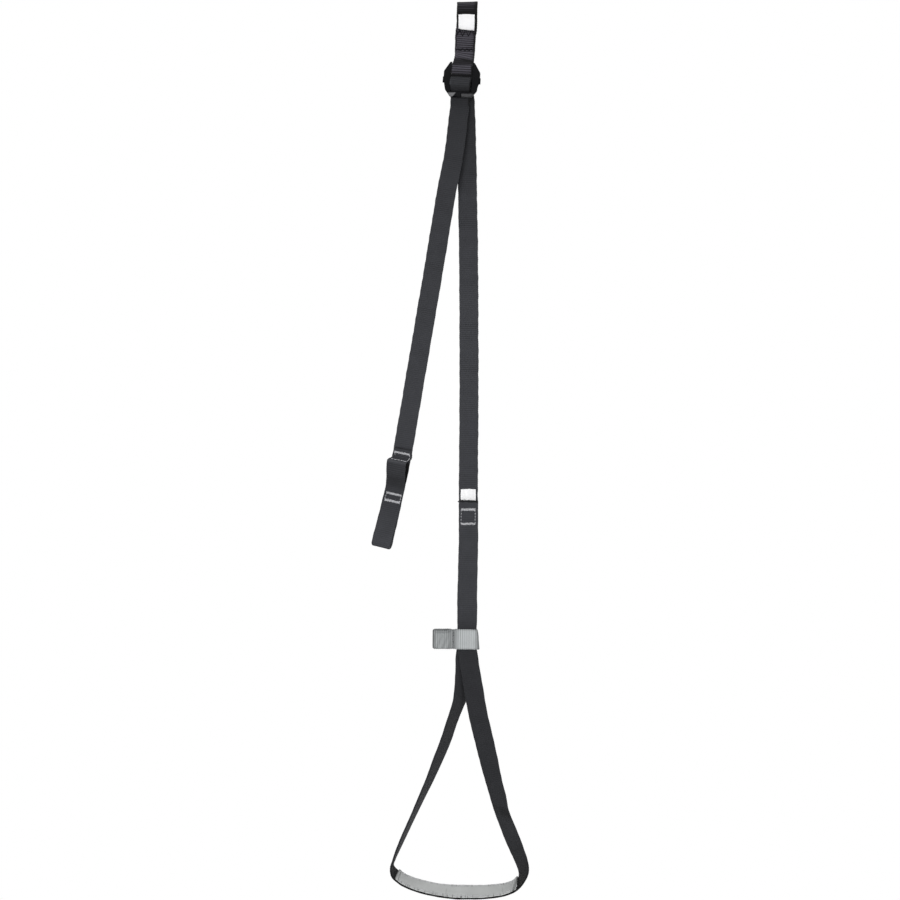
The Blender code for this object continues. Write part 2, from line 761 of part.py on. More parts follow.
def flatten_tread(places, turns):
    """Straighten the middle of the tread, so that the boot stands on one flat facet."""
    middle = int(np.argmin(places[:, 2]))
    lengths = run_lengths(places)
    near = np.flatnonzero(np.abs(lengths - lengths[middle]) < TREAD_FLAT_LENGTH / 2)
    first, last = near[0], near[-1]
    shares = ((lengths[near] - lengths[first]) / (lengths[last] - lengths[first]))[:, None]
    places[near] = places[first] * (1 - shares) + places[last] * shares
    turns[near] = turns[near].mean()
    return places, turns


# Pieces


def make_sling(route):
    add_object(
        "anchor_sling", strap_between(route, 0.0, route.length, SLING_WIDTH, WEBBING_THICKNESS), WEBBING
    )


def make_sling_label(route):
    """The label lies on the outer face of the eye's front, above the cut end."""
    end = route.length - run_to_height(route, -EYE_LENGTH) - SLING_LABEL_RISE
    start = end - SLING_LABEL_SIZE
    lift = surface_lift(LABEL_THICKNESS)
    rows = list(np.linspace(start, end, 7))
    columns = [-SLING_LABEL_SIZE / 2, SLING_LABEL_SIZE / 2]
    add_object("sling_label", panel(route, rows, columns, LABEL_THICKNESS, lift), WHITE_LABEL)


def run_to_height(route, height):
    """Length of the route's last run, from its end back to a height."""
    i = len(route.places) - 1
    while i > 0 and route.places[i][2] < height:
        i -= 1
    return route.length - route.lengths[i]


def make_sling_tacks(route):
    """Two rows of bar tacks, each shown on the front and on the back of the sewn stack."""
    half = SLING_WIDTH / 2 - SLING_TACK_INSET
    lift = surface_lift(THREAD_THICKNESS)
    upper = SLING_TACK_INSET / 2
    lower = SEWN_LENGTH - SLING_TACK_HEIGHT
    back_top = back_run_start(route)
    for name, start in (("upper", upper), ("lower", lower)):
        front = [start, start + SLING_TACK_HEIGHT]
        back = [back_top - start - SLING_TACK_HEIGHT, back_top - start]
        columns = [-half, half]
        add_object(
            f"sling_tack_{name}_front", panel(route, front, columns, THREAD_THICKNESS, lift), BLACK_THREAD
        )
        add_object(
            f"sling_tack_{name}_back", panel(route, back, columns, THREAD_THICKNESS, lift), BLACK_THREAD
        )


def back_run_start(route):
    """Distance at which the back layer, on its way up, reaches the top of the sewn stack."""
    lowest = int(np.argmin(route.places[:, 2]))
    for i in range(lowest, len(route.places)):
        if route.places[i][2] > -EYE_LENGTH:
            return float(route.lengths[i])
    return route.length


def frame_outline():
    """The adjuster's outline from the front: shoulders beside the sling, widest at the ears."""
    right = [
        (HALF_WINDOW + SHOULDER_WIDTH, SHOULDER_HEIGHT, 1.4 * MM),
        (HALF_WINDOW + SIDE_PLATE_WIDTH, -WIDEST_DROP, 3.0 * MM),
        (HALF_WINDOW + SIDE_PLATE_WIDTH, -LOCK_BAR_DROP, 4.0 * MM),
        (HALF_WINDOW + SIDE_PLATE_FOOT, -LIP_DROP + 1.4 * MM, 3.0 * MM),
        (HALF_WINDOW - 0.2 * MM, -LIP_DROP - LIP_HEIGHT, 2.0 * MM),
    ]
    left = [(-x, z, radius) for x, z, radius in reversed(right)]
    return rounded_polygon(right + left)


def circle_points(radius, count):
    angles = [2 * math.pi * k / count for k in range(count)]
    return [(radius * math.cos(a), radius * math.sin(a)) for a in angles]


def cross_rib_outline():
    """The fixed rib between the sling's fold and the wrap: it keeps clear of both round their bends."""
    fold = SLING_BEND + HALF_LAYER + SEAT_GAP
    wrap = WRAP_BEND + HALF_LAYER + SEAT_GAP
    depths = np.linspace(-CROSS_RIB_DEPTH / 2, CROSS_RIB_DEPTH / 2, 7)
    over = [(y, -math.sqrt(fold * fold - y * y)) for y in depths]
    under = [(y, -LOCK_BAR_DROP + math.sqrt(wrap * wrap - y * y)) for y in depths[::-1]]
    return over + under


def lip_nose():
    """The lip's front: as wide as the frame's foot, with a face that slopes up to catch the light."""
    seat = -FRAME_DEPTH / 2
    levels = [
        (LIP_BACK - 0.6 * MM, 0.2 * MM, 0.0),
        (seat - 0.2 * MM, 0.2 * MM, 0.0),
        (seat - LIP_NOSE, LIP_SLOPE, 0.9 * MM),
    ]
    rings = []
    for depth, below, inset in levels:
        top, foot = -LIP_DROP - below, -LIP_DROP - LIP_HEIGHT + 0.2 * MM + inset / 2
        wide, narrow = LIP_TOP_WIDTH / 2 - inset, LIP_FOOT_WIDTH / 2 - inset / 2
        right = [(wide, top, 0.8 * MM), (narrow, foot, 1.0 * MM)]
        left = [(-x, z, radius) for x, z, radius in reversed(right)]
        rings.append([(x, depth, z) for x, z in rounded_polygon(right + left, 3)])
    return round_edges(loft(rings), 0.35 * MM, 1)


def make_buckle_frame(pivot):
    """Side plates, top bar and lower lip, cut from one rounded plate."""
    half = FRAME_DEPTH / 2
    reach = 30 * MM
    plate = round_edges(prism(frame_outline(), -half, half, "Y"), FRAME_EDGE)
    frame = add_object("buckle_frame", plate, BLACK_METAL, pivot, Matrix.Identity(4))

    window = box((-HALF_WINDOW, -reach, -LIP_DROP), (HALF_WINDOW, reach, reach))
    combine(frame, "DIFFERENCE", "cut_window", window, pivot)

    channel = box((-HALF_WINDOW, LIP_BACK, -reach - LIP_DROP), (HALF_WINDOW, reach, LAYER_GAP - LIP_DROP))
    combine(frame, "DIFFERENCE", "cut_tail_channel", channel, pivot)

    rear = FRAME_BACK_LOW
    slope_top = -LOCK_BAR_DROP - LOCK_BAR_RADIUS
    slope_end = slope_top - (half - rear)
    wedge = [(half + reach, slope_top + reach), (half, slope_top), (rear, slope_end)]
    wedge += [(rear, -reach - LIP_DROP), (half + reach, -reach - LIP_DROP)]
    combine(frame, "DIFFERENCE", "cut_strand_relief", prism(wedge, -reach, reach, "X"), pivot)

    slot_half = EAR_THICKNESS / 2 + SEAT_GAP
    slot_top = -LOCK_BAR_DROP + EAR_HEIGHT / 2 + SEAT_GAP
    slot_end = -LOCK_BAR_DROP - LOCK_BAR_TRAVEL - EAR_HEIGHT / 2 - SEAT_GAP
    for name, side in (("left", -1), ("right", 1)):
        low, high = sorted((side * (HALF_WINDOW - 1 * MM), side * reach))
        slot = box((low, -slot_half, slot_end), (high, slot_half, slot_top))
        combine(frame, "DIFFERENCE", f"cut_ear_slot_{name}", slot, pivot)

    reach_in = HALF_WINDOW + 1 * MM
    bar = prism(circle_points(TOP_BAR_RADIUS, ROUND_SIDES), -reach_in, reach_in, "X")
    combine(frame, "UNION", "add_top_bar", bar, pivot)
    combine(frame, "UNION", "add_cross_rib", prism(cross_rib_outline(), -reach_in, reach_in, "X"), pivot)
    combine(frame, "UNION", "add_lip_nose", lip_nose(), pivot)

    front = -half - LIP_NOSE
    notch = [
        (-LIP_NOTCH_WIDTH / 2 - 1 * MM, front - 1 * MM),
        (LIP_NOTCH_WIDTH / 2 + 1 * MM, front - 1 * MM),
        (LIP_NOTCH_WIDTH / 2 - 0.7 * MM, front + LIP_NOTCH_DEPTH),
        (-LIP_NOTCH_WIDTH / 2 + 0.7 * MM, front + LIP_NOTCH_DEPTH),
    ]
    notch = [(LIP_NOTCH_SIDE + x, y) for x, y in notch]
    notch_cut = prism(notch, -LIP_DROP - LIP_HEIGHT - reach, -LIP_DROP + reach, "Z")
    combine(frame, "DIFFERENCE", "cut_lip_notch", notch_cut, pivot)
    shade_round(frame)


def bar_ring(side, height, thickness, square, count=16):
    """One section across the lock bar. A higher square value makes it more like a rectangle."""
    ring = []
    for k in range(count):
        angle = 2 * math.pi * k / count
        c, s = math.cos(angle), math.sin(angle)
        depth = thickness / 2 * math.copysign(abs(c) ** (2 / square), c)
        level = height / 2 * math.copysign(abs(s) ** (2 / square), s)
        ring.append((side, depth, level))
    return ring


def make_lock_bar(pivot):
    """A round bar with a flat tongue in each side plate and a head outside it."""
    neck = HALF_WINDOW - 0.3 * MM
    step = 0.15 * MM
    head = HALF_WINDOW + SIDE_PLATE_WIDTH + SEAT_GAP - step
    tip = head + EAR_HEAD_WIDTH
    diameter = LOCK_BAR_RADIUS * 2
    half = [
        (neck - step, diameter, diameter, 2.0),
        (neck, EAR_HEIGHT, EAR_THICKNESS, 6.0),
        (head, EAR_HEIGHT, EAR_THICKNESS, 6.0),
        (head + step, EAR_HEAD_HEIGHT, EAR_HEAD_THICKNESS, 4.0),
        (tip - 2 * step, EAR_HEAD_HEIGHT, EAR_HEAD_THICKNESS, 4.0),
        (tip, EAR_HEAD_HEIGHT - 4 * step, EAR_HEAD_THICKNESS - 4 * step, 4.0),
    ]
    rows = [(-s, h, t, p) for s, h, t, p in reversed(half)] + half
    shape = loft([bar_ring(*row) for row in rows])
    bar = add_object("lock_bar", shape, BLACK_METAL, pivot, Matrix.Translation((0, 0, -LOCK_BAR_DROP)))
    shade_round(bar)


def make_wrap(pivot):
    route = wrap_route()
    shape = strap_between(route, 0.0, route.length, STRAP_WIDTH, WEBBING_THICKNESS)
    add_object("strap_wrap", shape, WEBBING, pivot)


def make_load_strand(parent):
    route = load_route()
    shape = strap_between(route, 0.0, route.length, STRAP_WIDTH, WEBBING_THICKNESS)
    add_object("load_strand", shape, WEBBING, parent)


def make_tail(parent):
    route = tail_route()
    shape = strap_between(route, 0.0, route.length, STRAP_WIDTH, WEBBING_THICKNESS)
    add_object("tail_strand", shape, WEBBING, parent)


def make_tab(parent):
    """The folded tab and the tacks that show on its front and back layers."""
    route = tab_route()
    shape = strap_between(route, 0.0, route.length, STRAP_WIDTH, WEBBING_THICKNESS)
    add_object("tail_tab", shape, WEBBING, parent)
    half = STRAP_WIDTH / 2 - 0.8 * MM
    lift = surface_lift(THREAD_THICKNESS)
    second = TAB_TACK_INSET + TAB_TACK_HEIGHT + TAB_GRIP_LENGTH
    fold_end = route.nearest(height_on(route, second + TAB_TACK_HEIGHT), route.length / 2)
    upper_end = route.length - TAB_TACK_INSET
    fronts = {
        "upper": [upper_end - TAB_TACK_HEIGHT + 2 * TAB_TACK_CLEAR, upper_end],
        "lower": [fold_end, fold_end + TAB_TACK_HEIGHT - TAB_TACK_CLEAR],
    }
    for name, start in (("upper", TAB_TACK_INSET), ("lower", second)):
        back = [start, start + TAB_TACK_HEIGHT]
        front = fronts[name]
        columns = [-half, half]
        for face, rows in (("back", back), ("front", front)):
            pad = panel(route, rows, columns, THREAD_THICKNESS, -lift)
            add_object(f"tail_tack_{name}_{face}", pad, GREY_THREAD, parent)


def height_on(route, distance):
    return float(route.at(distance)[0][2])


def make_step(route, parent):
    shape = strap_between(route, 0.0, route.length, STRAP_WIDTH, WEBBING_THICKNESS)
    add_object("step_loop_strap", shape, WEBBING_DARK, parent)


def make_step_label(route, parent):
    """The label lies on the back riser's front face, just above the front layer's cut end."""
    end = STRAND_OVERLAP - SEAT_GAP
    start = end - STEP_LABEL_HEIGHT
    half = STEP_LABEL_WIDTH / 2
    lift = surface_lift(LABEL_THICKNESS)
    shape = panel(route, [start, end], [-half, half], LABEL_THICKNESS, lift)
    add_object("step_label", shape, WHITE_LABEL, parent)


def make_box_stitch(route, parent):
    """Two thick bars joined by thin sides, on the front layer and on the back layer."""
    half = BOX_STITCH_WIDTH / 2
    inner = half - BOX_SIDE_WIDTH
    columns = [-half, -inner, inner, half]
    offsets = [0.0, BOX_BAR_HEIGHT, BOX_STITCH_HEIGHT - BOX_BAR_HEIGHT, BOX_STITCH_HEIGHT]
    lift = surface_lift(THREAD_THICKNESS)
    front = [route.length - BOX_STITCH_INSET - offset for offset in reversed(offsets)]
    back = [STRAND_OVERLAP + BOX_STITCH_INSET + offset for offset in offsets]
    for face, rows, level in (("front", front, lift), ("back", back, -lift)):
        pad = panel(route, rows, columns, THREAD_THICKNESS, level, {(1, 1)})
        add_object(f"step_box_stitch_{face}", pad, BLACK_THREAD, parent)


def tread_span(route):
    middle = route.lengths[int(np.argmin(route.places[:, 2]))]
    middle -= TREAD_SHIFT
    return middle - TREAD_LENGTH / 2, middle + TREAD_LENGTH / 2


def make_tread(route, parent):
    """The strip on the strap's upper face, and its seam as it shows above and below."""
    start, end = tread_span(route)
    lift = surface_lift(TREAD_THICKNESS)
    strip = strap_between(route, start, end, TREAD_WIDTH, TREAD_THICKNESS, lift)
    add_object("tread_strip", strip, GREY_TREAD, parent)
    half = TREAD_WIDTH / 2 - TREAD_SEAM_INSET
    columns = [-half, -half + SEAM_WIDTH, half - SEAM_WIDTH, half]
    first, last = start + TREAD_SEAM_INSET, end - TREAD_SEAM_INSET
    stations = route.stations(first, last)
    rows = [first, first + SEAM_WIDTH]
    rows += [s for s in stations if first + 2 * SEAM_WIDTH < s < last - 2 * SEAM_WIDTH]
    rows += [last - SEAM_WIDTH, last]
    hole = {(r, 1) for r in range(1, len(rows) - 2)}
    top = lift + TREAD_THICKNESS / 2 + SEAT_GAP + THREAD_THICKNESS / 2
    under = -surface_lift(THREAD_THICKNESS)
    for name, level, finish in (("top", top, GREY_THREAD), ("under", under, BLACK_THREAD)):
        pad = panel(route, rows, columns, THREAD_THICKNESS, level, hole)
        add_object(f"tread_stitch_{name}", pad, finish, parent)


def rounded_box_outline(left, right, near, far, radius, segments=5):
    corners = [(left, near, radius), (right, near, radius), (right, far, radius), (left, far, radius)]
    return rounded_polygon(corners, segments)


def keeper_place():
    """The keeper's own frame: on the risers' middle at its lower edge, leaning as they lean."""
    low = riser_foot() + KEEPER_RISE
    lean = math.atan2(RISER_TOP_SIDE - RISER_FOOT_SIDE, RISER_LENGTH)
    return Matrix.Translation((riser_side(low), 0.0, low)) @ Matrix.Rotation(lean, 4, "Y")


def keeper_pockets():
    """Side and depth limits of the strap's pocket, then of the tail's pocket."""
    near = FRONT_RISER_DEPTH - HALF_LAYER - KEEPER_CLEARANCE
    far = BACK_RISER_DEPTH + HALF_LAYER + KEEPER_CLEARANCE
    right = STRAP_WIDTH / 2 + KEEPER_SIDE_CLEARANCE
    tail_right = -right - KEEPER_SEAM
    tail_left = tail_right - KEEPER_POCKET
    return (-right, right, near, far), (tail_left, tail_right, near, far)


def make_keeper(parent):
    """A flat elastic band round both pockets, drawn in at the seam between them."""
    strap_pocket, tail_pocket = keeper_pockets()
    near, far = strap_pocket[2], strap_pocket[3]
    wall = KEEPER_WALL
    left, right = tail_pocket[0] - wall, strap_pocket[1] + wall
    seam_left, seam_right = tail_pocket[1] + wall, strap_pocket[0] - wall
    round_end = (far - near) / 2 + wall - 0.2 * MM
    front_half = [
        (left, near - wall, round_end),
        (seam_left - KEEPER_PINCH, near - wall, KEEPER_CORNER),
        (seam_left, (near + far) / 2 - KEEPER_PINCH, KEEPER_CORNER),
        (seam_right, (near + far) / 2 - KEEPER_PINCH, KEEPER_CORNER),
        (seam_right + KEEPER_PINCH, near - wall, KEEPER_CORNER),
        (right, near - wall, round_end),
    ]
    back_half = [(x, near + far - y, radius) for x, y, radius in reversed(front_half)]
    whole = prism(rounded_polygon(front_half + back_half, 3), 0.0, KEEPER_HEIGHT, "Z")
    band = add_object("keeper_band", whole, GREY_ELASTIC, parent, Matrix.Identity(4))
    reach = KEEPER_HEIGHT
    for name, (low, high, front, back) in (("strap", strap_pocket), ("tail", tail_pocket)):
        hole = rounded_box_outline(low, high, front, back, POCKET_CORNER, 3)
        cutter = prism(hole, -reach, KEEPER_HEIGHT + reach, "Z")
        combine(band, "DIFFERENCE", f"cut_{name}_pocket", cutter, parent)
    seam = (seam_left + seam_right) / 2
    half = KEEPER_SEAM_WIDTH / 2
    low, high = KEEPER_SEAM_INSET, KEEPER_HEIGHT - KEEPER_SEAM_INSET
    lift = KEEPER_PINCH + SEAT_GAP + THREAD_THICKNESS / 2
    for name, depth in (("front", (near + far) / 2 - lift), ("back", (near + far) / 2 + lift)):
        start = (seam - half, depth - THREAD_THICKNESS / 2, low)
        end = (seam + half, depth + THREAD_THICKNESS / 2, high)
        add_object(f"keeper_seam_{name}", box(start, end), GREY_THREAD, parent, Matrix.Identity(4))


def main():
    clear_scene()
    sling = sling_route()
    make_sling(sling)
    make_sling_label(sling)
    make_sling_tacks(sling)

    pivot = add_empty("buckle_pivot", buckle_place())
    bar_place = buckle_place() @ Matrix.Translation((0, 0, -LOCK_BAR_DROP))
    bar_slide = add_empty("bar_slide", bar_place, pivot)
    make_buckle_frame(pivot)
    make_lock_bar(pivot)
    make_wrap(bar_slide)
    make_load_strand(bar_slide)
    make_tail(bar_slide)
    make_tab(bar_slide)

    step = step_route()
    step_slide = add_empty("step_slide", Matrix.Translation((RISER_TOP_SIDE, 0, riser_top())), bar_slide)
    make_step(step, step_slide)
    make_step_label(step, step_slide)
    make_box_stitch(step, step_slide)
    make_tread(step, step_slide)
    keeper_slide = add_empty("keeper_slide", keeper_place(), step_slide)
    make_keeper(keeper_slide)


main()
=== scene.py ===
"""Looks of an adjustable webbing foot loop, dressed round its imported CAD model.

Lengths are in millimetres until a mesh is made. The origin is the inner top of the anchor eye, +Z is up,
+X is to the viewer's right and -Y is towards the viewer. The straps are swept along the CAD model's routes,
with their ribs, selvages, cut ends and stitches as geometry. Where a visible edge strays from the CAD's,
the sways and shifts below say so. On a strap, "along" is the distance from its start, "across" runs from
edge to edge and "lift" stands off its middle.
"""
import math

import bpy
import numpy as np
from mathutils import Matrix, Vector


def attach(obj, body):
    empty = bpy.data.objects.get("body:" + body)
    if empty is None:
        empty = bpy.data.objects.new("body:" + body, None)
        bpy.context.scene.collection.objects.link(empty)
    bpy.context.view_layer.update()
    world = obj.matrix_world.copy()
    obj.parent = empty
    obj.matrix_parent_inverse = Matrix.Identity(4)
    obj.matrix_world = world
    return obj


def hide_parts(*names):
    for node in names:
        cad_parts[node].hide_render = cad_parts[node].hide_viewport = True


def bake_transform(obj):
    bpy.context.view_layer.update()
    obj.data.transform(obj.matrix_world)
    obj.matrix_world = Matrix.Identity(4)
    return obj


MM = 0.001

# Webbing, as in the CAD model
SLING_WIDTH = 20.0
STRAP_WIDTH = 18.8
THICKNESS = 1.8
HALF = THICKNESS / 2
LAYER_GAP = 0.3
LAYER_STEP = THICKNESS + LAYER_GAP

# Sling, as in the CAD model
EYE_GAP = 10.0
EYE_LENGTH = 26.8
SEWN_LENGTH = 20.5
SEWN_END = EYE_LENGTH + SEWN_LENGTH
SLING_LENGTH = 65.2
SLING_LEAN = math.radians(3.0)
SLING_SWAY = 1.4
SLING_SWAY_START = 17.5
SLING_SWAY_END = 6.5
LAYER_SHIFT = 0.15
EYE_SHIFT = 0.75

# Adjuster, as in the CAD model
BUCKLE_LEAN = math.radians(4.0)
BUCKLE_TURN = math.radians(-6.0)
BUCKLE_DEPTH = -1.4
TOP_BAR_RADIUS = 2.9
LOCK_BAR_RADIUS = 1.8
LOCK_BAR_TRAVEL = 5.0
WRAP_CLEARANCE = 1.3
WRAP_LOAD_SIDE = -0.05
WRAP_TAIL_SIDE = -0.65
LIP_CLEARANCE = 2.8
LIP_HEIGHT = 5.2
LIP_BACK = -0.4
SLING_BEND = TOP_BAR_RADIUS + LAYER_GAP + HALF
WRAP_BEND = LOCK_BAR_RADIUS + LAYER_GAP + HALF
LOCK_BAR_DROP = SLING_BEND + HALF + WRAP_CLEARANCE + WRAP_BEND + HALF
LIP_DROP = LOCK_BAR_DROP + LOCK_BAR_RADIUS + LOCK_BAR_TRAVEL + THICKNESS + LIP_CLEARANCE

# Main strap and tail, as in the CAD model
STRAND_LENGTH = 410.1
STRAND_DEPTH = 1.8
STRAND_SETTLE = 45.0
STRAND_OVERLAP = 22.0
RISER_LENGTH = 145.3
FRONT_RISER_DEPTH = -0.3
BACK_RISER_DEPTH = FRONT_RISER_DEPTH + LAYER_STEP
RISER_TOP_SIDE = 0.9
RISER_FOOT_SIDE = -0.5
RISER_SPLAY = 0.6
RISER_RUNOUT = 2.5
RISER_RUNOUT_SPLAY = 1.0
TAIL_LENGTH = 358.5
TAIL_SETTLE = 60.0
TAIL_SLOPE = 0.169
TAIL_FORWARD = 0.034
TAB_LENGTH = 95.0
TAB_SLOPE_TOP = 0.195
TAB_SLOPE_END = 0.250
TAB_FOLD = HALF + LAYER_GAP / 2
GRIP_DEPTH = 9.0
GRIP_SHIFT = -3.6
GRIP_START = 12.0
GRIP_LENGTH = 27.0
GRIP_CLEAR = 1.6

# Tread strip and keeper, as in the CAD model
TREAD_WIDTH = 17.6
TREAD_THICKNESS = 1.3
TREAD_LENGTH = 124.5
TREAD_FLAT_LENGTH = 20.0
TREAD_SHIFT = 4.75
KEEPER_HEIGHT = 19.9
KEEPER_WALL = 1.1
KEEPER_RISE = 0.6

# The looks' own sizes
RIB_PITCH = 1.9
RIB_ROWS = 4
RIB_DEPTH = 0.11
YARN_PITCH = 0.8
ELASTIC_PITCH = 2.1
ELASTIC_DEPTH = 0.16
LABEL_THICKNESS = 0.26
HEM = 3.2
HOLE_RADIUS = 0.42
SLING_FACE = HALF + 0.03
KEEPER_SEAM_SIDE = -13.1
KEEPER_MIDDLE = 0.75
THREAD_RADIUS = 0.26
TACK_SHIFT = -0.9
SLING_THREAD_RADIUS = 0.31
SLING_CUT_RISE = 0.5
EYE_TILT = 0.085
SLING_RIB_PITCH = 2.05
SLING_RIB_DEPTH = 0.16
STEP_CUT_RISE = 0.7
NUB_ACROSS = np.linspace(7.5, 10.2, 7)
FINE_STEP = 0.25
WAVE = 0.08
WAVE_LENGTHS = (61, 37, 17, 9)
TEAR_LENGTHS = (0.35, 0.6, 1.1, 2.3)
SEAM_INSET = 1.7
SELVAGE_RISE = 0.14
SELVAGE_NOTCH = 2.6
CLOTH_SPECULAR = 0.2
METAL_SPECULAR = 0.03
TWIST_PITCH = 0.55
# Where the painted highlights on the adjuster's lower lip lie: their top, the slanted left wedge and the
# right patch
LIP_HIGHLIGHT_TOP = -87.0
LIP_HIGHLIGHT_WEDGE = 68.4
LIP_HIGHLIGHT_SLANT = -0.91
LIP_HIGHLIGHT_PATCH = -6.3
WHITE = (1, 1, 1, 1)
SEED = 7


def srgb(*levels):
    """A colour as it is seen, 0 to 255, made linear."""
    return (*(((c / 255 + 0.055) / 1.055) ** 2.4 if c > 10 else c / 255 / 12.92 for c in levels), 1.0)


# Routes


def smooth_rows(rows, step=FINE_STEP):
    """Read a smooth curve through chosen rows. The first three columns are a place."""
    rows = np.array(rows, dtype=float)
    spans = np.linalg.norm(np.diff(rows[:, :3], axis=0), axis=1)[:, None]
    slopes = np.diff(rows, axis=0) / spans
    before, after = spans[:-1], spans[1:]
    inner = (slopes[:-1] * after + slopes[1:] * before) / (before + after)
    bends = np.vstack([slopes[:1], inner, slopes[-1:]])
    out = []
    for i, span in enumerate(spans[:, 0]):
        count = max(1, math.ceil(span / step))
        t = (np.arange(count) / count)[:, None]
        u = 1 - t
        out.append(
            rows[i] * (1 + 2 * t) * u * u
            + rows[i + 1] * (3 - 2 * t) * t * t
            + bends[i] * span * t * u * u
            - bends[i + 1] * span * t * t * u
        )
    out.append(rows[-1:])
    return np.vstack(out)


def run_lengths(places):
    return np.concatenate([[0.0], np.cumsum(np.linalg.norm(np.diff(places, axis=0), axis=1))])


def unit(vectors):
    return vectors / np.linalg.norm(vectors, axis=-1, keepdims=True)


def arc_points(centre, radius, start, end, count):
    """Points of an arc in a plane, both ends included. Angles in degrees."""
    angles = np.radians(np.linspace(start, end, count))
    return [(centre[0] + radius * math.cos(a), centre[1] + radius * math.sin(a)) for a in angles]


class Route:
    """The middle line of a strap, with the direction of its width at each place.

    The width lies square to the line, unless the strap is let shear where it shifts sideways.
    """

    def __init__(self, places, sides, square=True):
        self.places = np.array(places)
        self.lengths = run_lengths(self.places)
        self.tangents = unit(np.gradient(self.places, axis=0))
        self.square = square
        self.sides = self.settled(np.array(sides), self.tangents)

    @property
    def length(self):
        return self.lengths[-1]

    def settled(self, sides, tangents):
        if self.square:
            sides = sides - np.sum(sides * tangents, axis=1, keepdims=True) * tangents
        return unit(sides)

    def read(self, along):
        """Places, sides and normals at distances along the route."""
        along = np.atleast_1d(along)
        beyond = along - np.clip(along, 0.0, self.length)
        places, tangents, sides = (
            np.stack([np.interp(along, self.lengths, column) for column in table.T], axis=1)
            for table in (self.places, self.tangents, self.sides)
        )
        tangents = unit(tangents)
        sides = self.settled(sides, tangents)
        return places + tangents * beyond[:, None], sides, unit(np.cross(tangents, sides))

    def on_face(self, along, across, lift):
        """Points at a distance along, a place across and a lift off the middle."""
        places, sides, normals = self.read(along)
        return places + sides * np.reshape(across, (-1, 1)) + normals * np.reshape(lift, (-1, 1))

    def height(self, along):
        return self.column(along, self.places, 2)

    def column(self, along, table, which):
        """One number of the places or sides at distances along the route."""
        return np.interp(along, self.lengths, table[:, which])

    def at_height(self, height, last=False):
        """Distance at which the route first, or last, crosses a height."""
        levels = self.places[:, 2] - height
        crossings = np.flatnonzero(levels[:-1] * levels[1:] <= 0)
        return float(self.lengths[crossings[-1 if last else 0]])

    def lowest(self):
        return float(self.lengths[np.argmin(self.places[:, 2])])

    def joined(self, other):
        return Route(np.vstack([self.places, other.places]), np.vstack([self.sides, other.sides]))

    def part(self, start, end):
        """The stretch of the route between two distances."""
        along = np.linspace(start, end, max(2, math.ceil((end - start) / FINE_STEP)))
        places, sides, _ = self.read(along)
        return Route(places, sides)


def smooth_step(value):
    """0 below 0, 1 above 1 and a smooth rise between."""
    part = min(1.0, max(0.0, value))
    return (3 - 2 * part) * part * part


def sling_middle(down):
    """Sideways place, lean and turn of the sling at a distance below the eye."""
    settled = smooth_step((down - SEWN_END) / (SLING_LENGTH - SEWN_END))
    above = SLING_LENGTH - down
    swayed = SLING_SWAY * smooth_step((SLING_SWAY_START - above) / (SLING_SWAY_START - SLING_SWAY_END))
    below = max(0.0, down - SLING_LENGTH)
    middle = math.tan(SLING_LEAN) * (down - below) + swayed + math.tan(BUCKLE_LEAN) * below
    lean = SLING_LEAN + (BUCKLE_LEAN - SLING_LEAN) * settled
    return -middle, lean, BUCKLE_TURN * settled


def sling_route():
    """From the front cut end, round the top bar, up the back and over the eye to the inner end."""
    front, back = -LAYER_STEP, LAYER_STEP
    eye = EYE_GAP / 2 + HALF
    rows = [
        (-LAYER_SHIFT, front, EYE_LENGTH),
        (-LAYER_SHIFT, front, EYE_LENGTH + SEWN_LENGTH / 2),
        (-LAYER_SHIFT / 2, front, SEWN_END),
        (0.0, front - 0.5 * (SLING_BEND - LAYER_STEP), SEWN_END + 0.45 * (SLING_LENGTH - SEWN_END)),
    ]
    rows += [(0.0, y, down) for y, down in arc_points((BUCKLE_DEPTH, SLING_LENGTH), SLING_BEND, 180, 0, 13)]
    rows += [
        (0.0, back + 0.35 * (BUCKLE_DEPTH + SLING_BEND - back), SEWN_END + 0.35 * (SLING_LENGTH - SEWN_END)),
        (LAYER_SHIFT / 2, back, SEWN_END),
        (LAYER_SHIFT, back, EYE_LENGTH + SEWN_LENGTH / 2),
        (LAYER_SHIFT, back, EYE_LENGTH),
        (LAYER_SHIFT, back + 0.40 * (eye - back), EYE_LENGTH * 0.72),
        (LAYER_SHIFT / 2, back + 0.88 * (eye - back), EYE_LENGTH * 0.42),
    ]
    rows += [(0.0, y, down) for y, down in arc_points((0.0, EYE_GAP / 2), eye, 0, -180, 13)]
    rows += [
        (0.4 * EYE_SHIFT, -0.84 * eye, EYE_LENGTH * 0.42),
        (EYE_SHIFT, -0.40 * eye, EYE_LENGTH * 0.72),
        (EYE_SHIFT, -0.04 * eye, EYE_LENGTH * 0.95),
        (0.0, 0.0, EYE_LENGTH + 2 * LAYER_STEP),
        (0.0, 0.0, SEWN_END),
    ]
    places, sides = [], []
    for shift, depth, down in smooth_rows(rows):
        middle, lean, turn = sling_middle(down)
        out = depth - BUCKLE_DEPTH
        across = shift * math.cos(turn) - out * math.sin(turn)
        deep = shift * math.sin(turn) + out * math.cos(turn)
        places.append((middle + across, BUCKLE_DEPTH + deep, -down))
        sides.append((math.cos(lean) * math.cos(turn), math.sin(turn), -math.sin(lean) * math.cos(turn)))
    return Route(places, sides)


def buckle_place():
    """The adjuster's own frame: its origin on the top bar's axis, +Z towards the sling."""
    middle, lean, turn = sling_middle(SLING_LENGTH)
    place = Matrix.Translation((middle, BUCKLE_DEPTH, -SLING_LENGTH))
    return place @ Matrix.Rotation(lean, 4, "Y") @ Matrix.Rotation(turn, 4, "Z")


def in_buckle(side, depth, height):
    return tuple(buckle_place() @ Vector((side, depth, height)))


